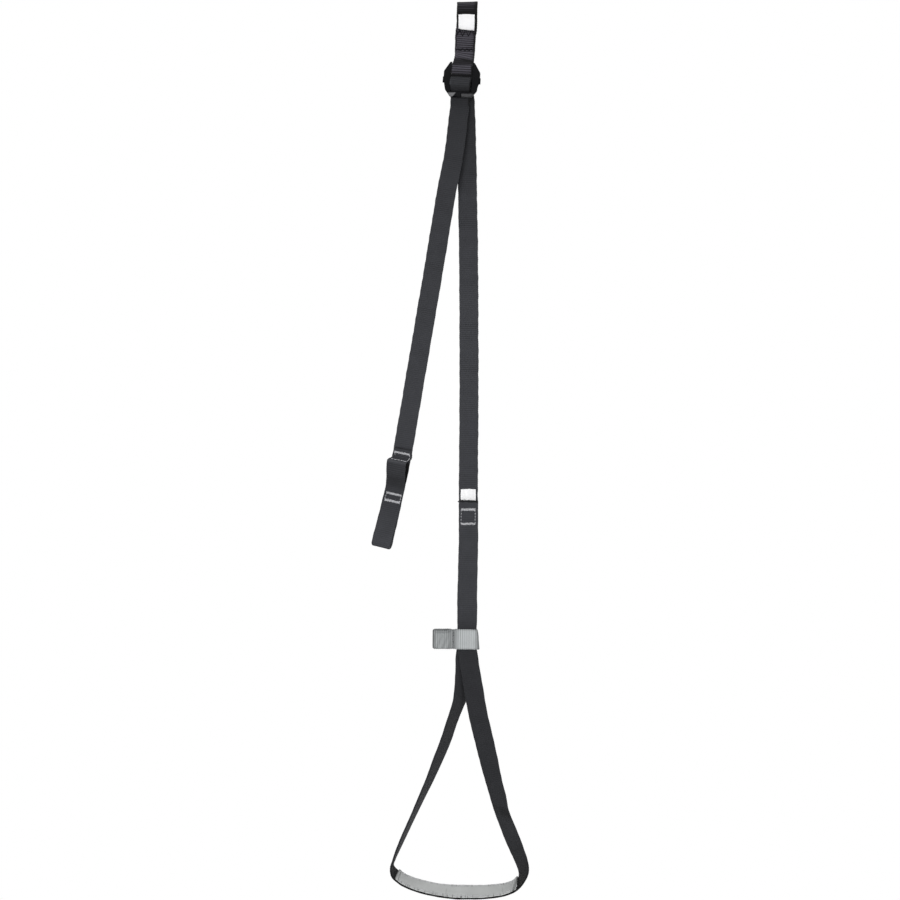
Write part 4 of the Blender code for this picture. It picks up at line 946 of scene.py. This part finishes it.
def seam(route, lift, corners, length, gap, seed):
    """Straight stitches along a line of corners (along, across), with gaps between them."""
    rng = np.random.default_rng(seed)
    corners = np.array(corners)
    out = []
    for first, last in zip(corners, corners[1:]):
        run = math.hypot(*(last - first))
        count = max(1, round((run + gap) / (length + gap)))
        for k in range(count):
            ends = (k * (run + gap) / count / run, ((k + 1) * (run + gap) / count - gap) / run)
            wobble = rng.uniform(-1, 1, 2) * 0.08
            out.append(stitch(route, lift, *(first + (last - first) * t + wobble for t in ends)))
    return out


# Pieces


def finish_piece(thing, body, slot, *nodes):
    """Let a piece ride on its body and stand for its nodes. The slot is not used."""
    if body is not None:
        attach(thing, body)
    if nodes:
        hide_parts(*nodes)


def sewn(name, paths, material, body, slot, *nodes, radius=THREAD_RADIUS, sides=6):
    """Threads as a piece."""
    finish_piece(tubes(name, paths, radius, material, sides), body, slot, *nodes)


def fray(name, route, where, way, width, body, seed, count=34, reach=0.9):
    """Short loose fibres out of a cut end."""
    rng = np.random.default_rng(seed)
    t = np.linspace(-0.5, 1, 5)
    paths = []
    for _ in range(count):
        across = rng.uniform(-width / 2, width / 2)
        out = reach * rng.uniform(0.3, 1.0) * t
        lean = rng.uniform(-0.5, 0.5)
        lift = rng.uniform(-0.6, 0.6) * HALF
        curl = rng.uniform(-0.3, 0.5) * np.clip(t, 0, 1) ** 2
        paths.append(route.on_face(where + way * out, across + lean * out, lift + curl))
    sewn(name, paths, BLACK_THREAD, body, "black_webbing", radius=0.09, sides=4)


def strap_tone(route, shades, shade_bands=(), darker=None):
    """A strap's painted light and shade by height, less the shares that darker gives."""

    def tone(along, across, face):
        height = route.height(along)
        shares = darker(along, across, face, height) if darker else ()
        return tone_of(darkened(shaded(height, shades, shade_bands), *shares))

    return tone


def sling_tone(route, label_top):
    """Painted shade: creases and shadows by height on the front, shaded right edges, selvages and rib
    valleys, and the layers behind in their own shadow.
    """

    def tone(along, across, face):
        height = route.height(along) - SLING_LOW_SIDE * across
        front = ramp(0.8 - route.column(along, route.places, 1), 0, 0.8) * (face > -0.5)
        rim = across - SLING_WIDTH / 2
        edge = ramp(rim, -3.0, 1.0) * (along > label_top)
        level = shaded(height, SLING_SHADES, SLING_SHADE_BANDS)
        level = darkened(
            level * (1 - edge) + SHADED_EDGE_LEVEL * edge,
            0.5 * ramp(rim, -2.2, 0.8) * soft_box(height, -60, -27, 4) * (along < label_top),
            0.8 * ramp(rim, -2.0, 0.8) * soft_box(height, -80, -62, 3),
            level_at(height, SLING_RIB_SHADES) * (1 - rib_height(along, SLING_RIB_PITCH)),
            0.35 * ramp(np.abs(across), SLING_WIDTH / 2 - 0.9, 0.6),
            0.4 * soft_box(across + 3 * (height + 55.4), -3, 9, 2) * soft_box(height, -57, -54, 1),
        )
        behind = np.where(face < 0, SHADOWED_LAYER_LEVEL, PLAIN_LEVEL)
        inside = (along > label_top - 6) & (face < 0)
        return tone_of(np.where(inside, SHADOWED_LAYER_LEVEL, level * front + behind * (1 - front)))

    return tone


def make_sling(route):
    half = SLING_WIDTH / 2 - 1.4
    levels = route.places[:, 2]
    lowest = int(np.argmin(levels))
    back_top = float(route.lengths[lowest + np.argmax(levels[lowest:] > -EYE_LENGTH)])
    eye_top = float(route.lengths[np.argmax(levels)])
    # Each tack's place, the ends of its dent and of its threads from there, and the threads' pitch
    tacks = {
        "upper_front": (0.0, 0.8, 5.8, -0.6, 5.6, 2.75),
        "lower_front": (SEWN_LENGTH, -3.4, -0.2, -3.0, -0.4, 2.2),
        "upper_back": (back_top, -5.8, -0.8, -5.9, -0.9, 2.75),
        "lower_back": (back_top - SEWN_LENGTH, 0.2, 3.4, 0.4, 3.0, 2.2),
    }
    dents = [(at + start, at + end, half, 0.28, 1) for at, start, end, *_ in tacks.values()]
    base = swayed(strap_shape(SEED, dents, [(-SLING_CUT_RISE, 0.9, 2.0)]), route, SLING_SWAYS)

    def shape(along, across, face):
        slide, side, out = base(along, across, face)
        return slide, side, out + EYE_TILT * across * soft_box(along, eye_top - 5, eye_top + 5, 7)

    webbing = ribbon("sling_webbing", route, SLING_WEBBING, -SLING_CUT_RISE, width=SLING_WIDTH, shape=shape,
                     pitch=SLING_RIB_PITCH, depth=SLING_RIB_DEPTH, tone=sling_tone(route, eye_top))
    finish_piece(webbing, "sling", "black_webbing", "anchor_sling")
    fray("sling_fray", route, -SLING_CUT_RISE, -1, SLING_WIDTH - 2, "sling", 3)
    for k, (name, (at, _, _, start, end, pitch)) in enumerate(tacks.items()):
        needle_holes(name, route, at + start, at + end, half, SEED + k)
        paths = tack(route, SLING_FACE - 0.22, at + (start + end) / 2, end - start, half, pitch, SEED + k)
        sewn(f"sling_stitch_{name}", paths, BLACK_THREAD, "sling", "black_thread", f"sling_tack_{name}",
             radius=SLING_THREAD_RADIUS)
    eye_end = route.at_height(-EYE_LENGTH, last=True)
    make_label("sling_label", route, eye_end - 16.1, eye_end + 2.2, 15.6, -0.45, "sling", 11)


def needle_holes(name, route, start, end, half, seed):
    """Thick ends of the thread where the needle went in: a row across, and one down a long tack's sides."""
    rng = np.random.default_rng(seed + 90)
    spots = [(start + 1.0, across) for across in np.arange(-half, half, 2.7)]
    if end - start > 4:
        spots += [(along, side) for along in np.arange(start + 3, end + 9, 2.0) for side in (-half, half)]
    paths = []
    for along, across in spots:
        along, across = along + rng.uniform(-0.2, 0.2), across + rng.uniform(-0.3, 0.3)
        paths.append(stitch(route, SLING_FACE, (along, across - 0.3), (along + 0.9, across + 0.3)))
    sewn(f"sling_holes_{name}", paths, BLACK_THREAD, "sling", "black_thread", radius=HOLE_RADIUS)


def make_label(node, route, start, end, width, shift, body, seed):
    """A thin white woven label, tucked under a cut end. It carries no print."""

    def shape(along, across, face):
        slide = (1 - ramp(along, start, 3)) ** 2 * 0.25 * np.sin(across / 2.7 + seed)
        side = shift + np.sign(across) * wavy(along, across, 0.07, seed)
        return slide, side, wavy(along * 1.7, across * 9, 0.035, seed + 1)

    cloth = ribbon(f"{node}_cloth", route, LABEL, start, end, width, LABEL_THICKNESS, HALF + 0.12, 0.9, 0.0,
                   shape=shape, rows=1)
    finish_piece(cloth, body, "white_label", node)


def tail_painted_shade(along, across, face, height):
    """Painted shadow behind the grip and painted shade at the right edge below the lip, with a painted
    lighter band at the left one.
    """
    grip = soft_box(height, -477, -446.5, 3) * (face > 0) * (across > STRAP_WIDTH * 0.25)
    left = soft_box(height, -80, -76, 2) * soft_box(across, -STRAP_WIDTH, 1.2 - STRAP_WIDTH / 2, 0.8)
    right = ramp(across, STRAP_WIDTH / 2 - 1.2, 0.6) * soft_box(height, -100, -71, 1)
    return 0.75 * grip, -0.25 * left, 0.75 * right


def step_painted_shade(route):
    """Painted shade at the fold and its crease lines in the right leg and on the inner side by the tread, and
    at the cut dark fibres with painted shade.
    """
    lowest = route.lowest()

    def darker(along, across, face, height):
        right = along > lowest
        bend = height + 789 - 0.45 * across
        fold = soft_box(bend, -2.5, 5.5, 5) * right * np.clip(1 - across / 5, 0.35, 1)
        shade_bands = soft_box(bend, -7, -1, 2) * right * 0.5 * (np.sin(bend * 2.6) > 0.2)
        ragged = 2.1 + 0.9 * np.sin(across / 0.8) + 0.35 * np.sin(across / 0.31)
        cut = ramp(along, route.length + STEP_CUT_RISE - ragged, 0.4)
        inner = soft_box(along, lowest - TREAD_LENGTH / 2 - 20, lowest + TREAD_LENGTH / 2 + 6, 12)
        return 0.32 * fold, 0.3 * shade_bands, 0.5 * cut, 0.4 * inner * (face > 0)

    return darker


def make_load_and_step(load, step):
    """The strap above the junction, and the foot loop with its cut end."""
    riser_end = step.at_height(KEEPER_LOW + KEEPER_HEIGHT / 2)
    whole = load.joined(step.part(0.0, riser_end))
    shape = swayed(strap_shape(SEED + 20), whole, LOAD_SWAY + RISER_SWAY)
    strand = ribbon("load_webbing", whole, WEBBING, shape=shape, tone=strap_tone(whole, LOAD_SHADES))
    tuple(step.read(riser_end)[0][0] * MM)
    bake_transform(strand)
    finish_piece(strand, None, "black_webbing", "load_strand")

    box_top = step.length - 6.7
    dents = [(box_top + start, box_top + end, 7, 0.3, 1) for start, end in ((-16.5, -13.9), (-2.8, 0.0))]
    end = step.length + STEP_CUT_RISE
    shape = swayed(strap_shape(SEED + 30, dents, [(end, 0.3, 1.0)]), step, RISER_SWAY)
    tone = strap_tone(step, STEP_SHADES, darker=step_painted_shade(step))
    loop = ribbon("step_webbing", step, WEBBING, riser_end, end, phase=whole.length, shape=shape, tone=tone)
    finish_piece(loop, "step", "black_webbing", "step_loop_strap")
    fray("step_fray", step, end, 1, STRAP_WIDTH - 1, "step", 5, 30, 0.8)
    nub = step.on_face(end - 1.2, NUB_ACROSS, 0.3)
    sewn("step_nub", [nub], BLACK_THREAD, "step", "black_webbing", radius=0.65)


def tab_shape(tab):
    """The tab's dents, the shifts of its layers and its round lower corners."""
    bars = [tab.at_height(height, last=True) for height in TAB_BARS]
    dents = [(at - 1.3, at + 1.3, 7.6, 0.25, -1) for at in bars]
    base = strap_shape(SEED + 50, dents, [(tab.length, 0.2, 1.0)])
    fold = tab.lowest()

    def shape(along, across, face):
        slide, side, out = base(along, across, face)
        height = tab.height(along)
        front = ramp(along, fold - 3, 6)
        back = (0.5 + across / STRAP_WIDTH) * ramp(-height, 494, 12) * (1 - front)
        side = side + level_at(height, TAB_FRONT_SHIFTS) * front + TAB_BACK_SHIFT * back
        near = 1 - ramp(np.abs(along - fold), 0, TAB_CORNER)
        corner = TAB_CORNER * (1 - np.sqrt(1 - near * near)) * (np.abs(across) > STRAP_WIDTH * 0.38)
        return slide, side - np.sign(across) * corner, out

    return shape


def make_tail_and_tab(wrap, tail, tab):
    """The strap over the bar and down to the tab, and the folded tab."""
    fold_start = tab.at_height(tab.places[0][2] - TAB_LENGTH + TAB_FOLD + 2)
    over = wrap.joined(tail).joined(tab.part(0.0, fold_start))
    shape = swayed(strap_shape(SEED + 40), over, WRAP_SWAY + BACK_TAB_SWAY)
    tone = strap_tone(over, TAIL_SHADES, TAIL_SHADE_BANDS, tail_painted_shade)
    strand = ribbon("tail_webbing", over, WEBBING, shape=shape, tone=tone)
    tuple(tab.read(fold_start - 6)[0][0] * MM)
    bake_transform(strand)
    finish_piece(strand, None, "black_webbing", "strap_wrap", "tail_strand")

    # The cut end: dark fibres, with painted shade
    def cut_fibres_and_shade(along, across, face, height):
        return (0.35 * soft_box(along, tab.length - 0.9, tab.length + 9, 0.6),)

    tone = strap_tone(tab, TAB_SHADES, TAB_SHADE_BANDS, cut_fibres_and_shade)
    front = ribbon("tail_tab_webbing", tab, WEBBING, fold_start, tab.length, phase=over.length,
                   shape=tab_shape(tab), tone=tone)
    finish_piece(front, "tail", "black_webbing", "tail_tab")
    fray("tail_fray", tab, tab.length, 1, STRAP_WIDTH - 2, "tail", 9, 20, 0.6)


def make_tail_stitches(tab):
    """Two tacks through the tab, seen on its front and on its back."""
    half, lift = 7.4, 0.2 - HALF
    for face, last in (("front", True), ("back", False)):
        a, b, c, d = (tab.at_height(height, last) for height in TAB_BARS)
        edge = half if last else -half
        upper = tack(tab, lift, a, 2.1, half, 0.55, 21, TACK_SHIFT)
        upper += seam(tab, lift, [(b, -half), (b, half)], 2.6, 0.5, 22)
        upper += seam(tab, lift, [(a, edge + TACK_SHIFT), (b, edge)], 2.6, 0.3, 23)
        upper += seam(tab, lift, [(a, TACK_SHIFT - edge), (a * 0.7 + b * 0.3, -edge)], 1.6, 0.3, 27)
        lower = tack(tab, lift, c, 2.2, half, 0.55, 24) + tack(tab, lift, d, 2.6, half, 0.55, 25)
        lower += seam(tab, lift, [(c, edge), (d, edge)], 2.6, 0.3, 26)
        lower += seam(tab, lift, [(c * 0.7 + d * 0.3, -edge), (d, -edge)], 2.2, 0.3, 28)
        for name, paths in (("upper", upper), ("lower", lower)):
            sewn(f"tail_stitch_{name}_{face}", paths, GREY_THREAD, "tail", "grey_thread",
                 f"tail_tack_{name}_{face}")


def make_step_stitches(step):
    """The box stitch: two bars joined by thin dashed sides."""
    half = 6.8
    for face, last, lift in (("front", True, HALF - 0.2), ("back", False, 0.2 - HALF)):
        top, foot = (step.at_height(height, last) for height in BOX_BARS)
        paths = tack(step, lift, top, 2.7, half, 0.6, 31) + tack(step, lift, foot, 2.4, half, 0.6, 32)
        for side in (-half, half):
            paths += seam(step, lift, [(top, side), (foot, side)], 2.3, 0.9, 33)
        sewn(f"step_stitch_{face}", paths, GREY_THREAD, "step", "black_thread", f"step_box_stitch_{face}")


def make_tread(step):
    """The grey strip, its folded ends and its seam above and below."""
    middle = step.lowest() - TREAD_SHIFT
    start, end = middle - TREAD_LENGTH / 2, middle + TREAD_LENGTH / 2
    edge = TREAD_WIDTH / 2
    lift = HALF + 0.3 + TREAD_THICKNESS / 2

    def shape(along, across, face):
        folded = soft_box(along, start - 9, start + HEM, 0.7) + soft_box(along, end - HEM, end + 9, 0.7)
        seamed = soft_box(np.abs(across), edge - 2.2, edge - 1.0, 0.8)
        crown = 0.18 * np.cos(across / TREAD_WIDTH * math.pi)
        creased = soft_box(along, start + 48, start + 49, 1) + soft_box(along, end - 19, end - 18, 1)
        out = (face > 0) * (0.42 * folded - 0.30 * seamed * (1 - folded) + crown + 0.16 * creased)
        lean = across / edge
        slide = (4.6 * lean + 0.3) * ramp(along, end - 16, 16) - 1.5 * lean * (1 - ramp(along, start, 9))
        side = np.sign(across) * wavy(along, across, 0.22, 61) - 0.5 * (lean < -0.8)
        return slide, side, out + wavy(along, across * 3, 0.05, 62)

    rng = np.random.default_rng(63)
    specks = [
        (rng.uniform(start + 5, end - 2), rng.choice((-1, 1)), rng.uniform(0.4, 0.8)) for _ in range(60)
    ]

    # Painted shade at the hem's edge, on the folded start and end, and at two creases; and random dark specks
    # near the edges
    def tone(along, across, face):
        outer = {way: way * across > TREAD_WIDTH * 0.39 for way in (-1, 1)}
        return darkened(
            1.0,
            0.35 * soft_box(along, start + 2.4, start + 3.8, 0.8),
            0.25 * soft_box(along, start - 9, start + 0.9, 0.6),
            0.4 * ramp(along - 0.35 * across, end - 3.5, 1.5),
            *(0.22 * soft_box(along, at, at + 0.9, 0.7) * (across < 2) for at in (start + 52, end - 17)),
            *(deep * soft_box(along, at, at + 0.6, 0.5) * outer[way] for at, way, deep in specks),
        )

    strip = ribbon("tread_cloth_strip", step, TREAD_CLOTH, start, end, TREAD_WIDTH, TREAD_THICKNESS, lift,
                   0.9, 0.02, shape=shape, tone=tone, rows=2)
    finish_piece(strip, "step", "grey_webbing", "tread_strip")
    low, high, half = start + SEAM_INSET, end - SEAM_INSET, edge - SEAM_INSET
    box = [(low, -half), (low, half), (high, half), (high, -half), (low, -half)]
    top = lift + TREAD_THICKNESS / 2 - 0.05
    seams = (("top", top, GREY_THREAD, "grey_thread"), ("under", -HALF, BLACK_THREAD, "black_thread"))
    for name, level, material, slot in seams:
        paths = seam(step, level, box, 2.6, 0.6, 41)
        sewn(f"tread_thread_{name}", paths, material, "step", slot, f"tread_stitch_{name}")


def make_keeper(route):
    """The ribbed elastic band and the zigzag seam between its two pockets."""
    half = KEEPER_HEIGHT / 2

    def shape(along, across, face):
        x = route.column(along, route.places, 0) - KEEPER_SIDE
        front = ramp(0.5 - route.column(along, route.places, 1), 0, 2)
        pocket = soft_box(x, -32, -17, 7)
        top, low = ramp(across, 0, half), ramp(-across, 0, half)
        flare = ramp(x, 8, 3)
        corner = ramp(-x, 31.4, 1.5) ** 2 * (np.abs(across) > 0.6 * half)
        side = wavy(along, across, 0.12, 71) - 1.3 * top * pocket * front + 0.3 * low * pocket
        side = side - np.sign(across) * (0.25 * soft_box(x, -15, -11.5, 3) + corner)
        crease = 0.22 * np.sin((x + 0.35 * across) / 1.9) * pocket * low * front
        out = crease + flare * low * 0.9 - flare * top * top * 1.3 + wavy(along, across * 2, 0.06, 72)
        return 0 * along, side, out

    # Painted light and shade: fan-shaped crease shading in the left pocket, darker rims, the pocket's shaded
    # opening and the inner face
    def tone(along, across, face):
        x = route.column(along, route.places, 0) - KEEPER_SIDE
        fan = np.sin((x + 24 - 0.42 * across) * 1.1 + 0.5) * soft_box(across, -2 * half, 0.2 * half, 8)
        return darkened(
            level_at(x, KEEPER_SHADES),
            -0.13 * fan * soft_box(x, -31, -16, 4),
            0.25 * ramp(np.abs(across), half - 1.7, 1.0),
            0.3 * soft_box(across, half - 3.2, half - 1.6, 0.8) * soft_box(x, -30, -16, 2),
            0.15 * (face < 0),
        )

    band = ribbon("keeper_elastic", route, ELASTIC, width=KEEPER_HEIGHT, thickness=KEEPER_WALL,
                  pitch=ELASTIC_PITCH, depth=ELASTIC_DEPTH, closed=True, shape=shape, tone=tone)
    finish_piece(band, "keeper", "grey_elastic", "keeper_band")
    off, depth = np.abs(route.places[:, 0] - KEEPER_SIDE - KEEPER_SEAM_SIDE), route.places[:, 1]
    rows = np.linspace(1.0 - half, half - 0.9, 15)
    lift = KEEPER_WALL / 2
    for face, there in (("front", depth <= KEEPER_MIDDLE), ("back", depth > KEEPER_MIDDLE)):
        centre = float(route.lengths[np.argmin(np.where(there, off, np.inf))])
        rng = np.random.default_rng(81)
        paths = []
        for k, (low, high) in enumerate(zip(rows, rows[1:])):
            reach = 1.5 if k % 2 else -1.5
            rise = 1.0 + 0.3 * rng.uniform(-1, 1)
            paths.append(stitch(route, lift, (centre - reach, low), (centre + reach, high), rise))
        sewn(f"keeper_stitch_{face}", paths, KEEPER_THREAD, "keeper", "grey_thread", f"keeper_seam_{face}")
        # Short black marks at the seam stand for the shade where the needle went through
        ends = (((centre - 0.5, across), (centre + 0.4, across)) for across in (6.1, 3.6, -2.7))
        hole_shadows = [stitch(route, lift + 0.1, *pair) for pair in ends]
        sewn(f"keeper_hole_shadows_{face}", hole_shadows, BLACK_THREAD, "keeper", "black_thread", radius=HOLE_RADIUS)


def make_adjuster():
    """The adjuster keeps its CAD solids and gets its finish."""
    for name in ("buckle_frame", "lock_bar"):
        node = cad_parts[name]
        node.data.materials.clear()
        node.data.materials.append(METAL)
        bevel = node.modifiers.new("rounded", "BEVEL")
        bevel.width = 0.25 * MM
        bevel.segments = 2
        bevel.limit_method = "ANGLE"
        bevel.angle_limit = math.radians(40)


# Stage, in metres

VIEW_LENS = 100.0
VIEW_SENSOR = 36.0
PIXEL = 0.9756 * MM
PICTURE_MIDDLE = 450
EYE_ACROSS, EYE_DOWN = 467.3, 3.5
VIEW_DISTANCE = 2 * PICTURE_MIDDLE * PIXEL * VIEW_LENS / VIEW_SENSOR
VIEW_CENTRE = Vector(((PICTURE_MIDDLE - EYE_ACROSS) * PIXEL, 0.0, (EYE_DOWN - PICTURE_MIDDLE) * PIXEL))
FLOOR_HEIGHT = -1.30
FLOOR_HALF = 2.2
FLOOR_GLOW = 0.6
AMBIENT = 0.13


def make_camera():
    data = bpy.data.cameras.new("view")
    data.lens = VIEW_LENS
    data.sensor_width = VIEW_SENSOR
    camera = link("view", data)
    camera.location = VIEW_CENTRE - Vector((0, VIEW_DISTANCE, 0))
    camera.rotation_euler = (math.radians(90), 0, 0)
    bpy.context.scene.camera = camera


def make_lamp(name, place, size, power):
    data = bpy.data.lights.new(name, "AREA")
    data.size = size
    data.energy = power
    lamp = link(name, data)
    lamp.location = place
    lamp.rotation_euler = (VIEW_CENTRE - Vector(place)).to_track_quat("-Z", "Y").to_euler()


def make_world():
    """Soft light all round, and plain white where the background is seen."""
    world = bpy.data.worlds.new("studio")
    bpy.context.scene.world = world
    nodes = Nodes(world)
    lit = nodes.tree.nodes["Background"]
    lit.inputs["Color"].default_value = WHITE
    lit.inputs["Strength"].default_value = AMBIENT
    mix = nodes.add("MixShader", nodes.seen_by_view(), lit.outputs[0], nodes.add("Background", WHITE))
    nodes.put(nodes.tree.nodes["World Output"].inputs[0], mix)


def make_floor():
    """A pale floor. A little glow where it is seen makes it white, and its shadow stays."""
    mesh = bpy.data.meshes.new("floor")
    corners = [(x, y, FLOOR_HEIGHT) for y in (-FLOOR_HALF, FLOOR_HALF) for x in (-FLOOR_HALF, FLOOR_HALF)]
    mesh.from_pydata(corners, [], [(0, 1, 3, 2)])
    finish = Finish("floor", 0.9)
    finish.inputs["Base Color"].default_value = (0.8, 0.8, 0.8, 1)
    finish.inputs["Emission Color"].default_value = WHITE
    distance = finish.add("VectorMath", finish.add("TexCoord", out=3), operation="LENGTH", out=1)
    glow = finish.product(finish.seen_by_view(), finish.ramp(distance, 0.6, 1.8, FLOOR_GLOW, 1.0))
    finish.put(finish.inputs["Emission Strength"], glow)
    mesh.materials.append(finish.material)
    link("floor", mesh)


def make_stage():
    make_world()
    make_floor()
    make_lamp("key", (-0.9, -2.5, 0.5), 1.3, 44)
    make_lamp("fill", (1.3, -2.4, -0.7), 1.5, 22)
    make_lamp("top", (0.3, 0.2, 1.3), 1.2, 14)
    make_lamp("back", (-0.5, 2.6, -0.2), 1.6, 26)


def main():
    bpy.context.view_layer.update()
    sling, step, tail = sling_route(), step_route(), tail_route()
    tab = tab_route(tail.places[-1])
    make_sling(sling)
    make_adjuster()
    make_load_and_step(load_route(), step)
    make_tail_and_tab(wrap_route(), tail, tab)
    make_tail_stitches(tab)
    make_label("step_label", step, STRAND_OVERLAP - 11.7, STRAND_OVERLAP + 1.8, 14.7, -0.05, "step", 17)
    make_step_stitches(step)
    make_tread(step)
    make_keeper(keeper_route())
    make_camera()
    make_stage()
    bpy.context.scene.view_settings.view_transform = "Standard"


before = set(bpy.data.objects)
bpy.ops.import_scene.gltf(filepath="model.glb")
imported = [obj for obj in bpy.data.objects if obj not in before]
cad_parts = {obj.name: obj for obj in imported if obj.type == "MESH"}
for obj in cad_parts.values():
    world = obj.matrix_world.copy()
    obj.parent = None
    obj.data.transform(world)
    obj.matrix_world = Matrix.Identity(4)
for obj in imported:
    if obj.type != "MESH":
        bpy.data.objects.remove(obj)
main()
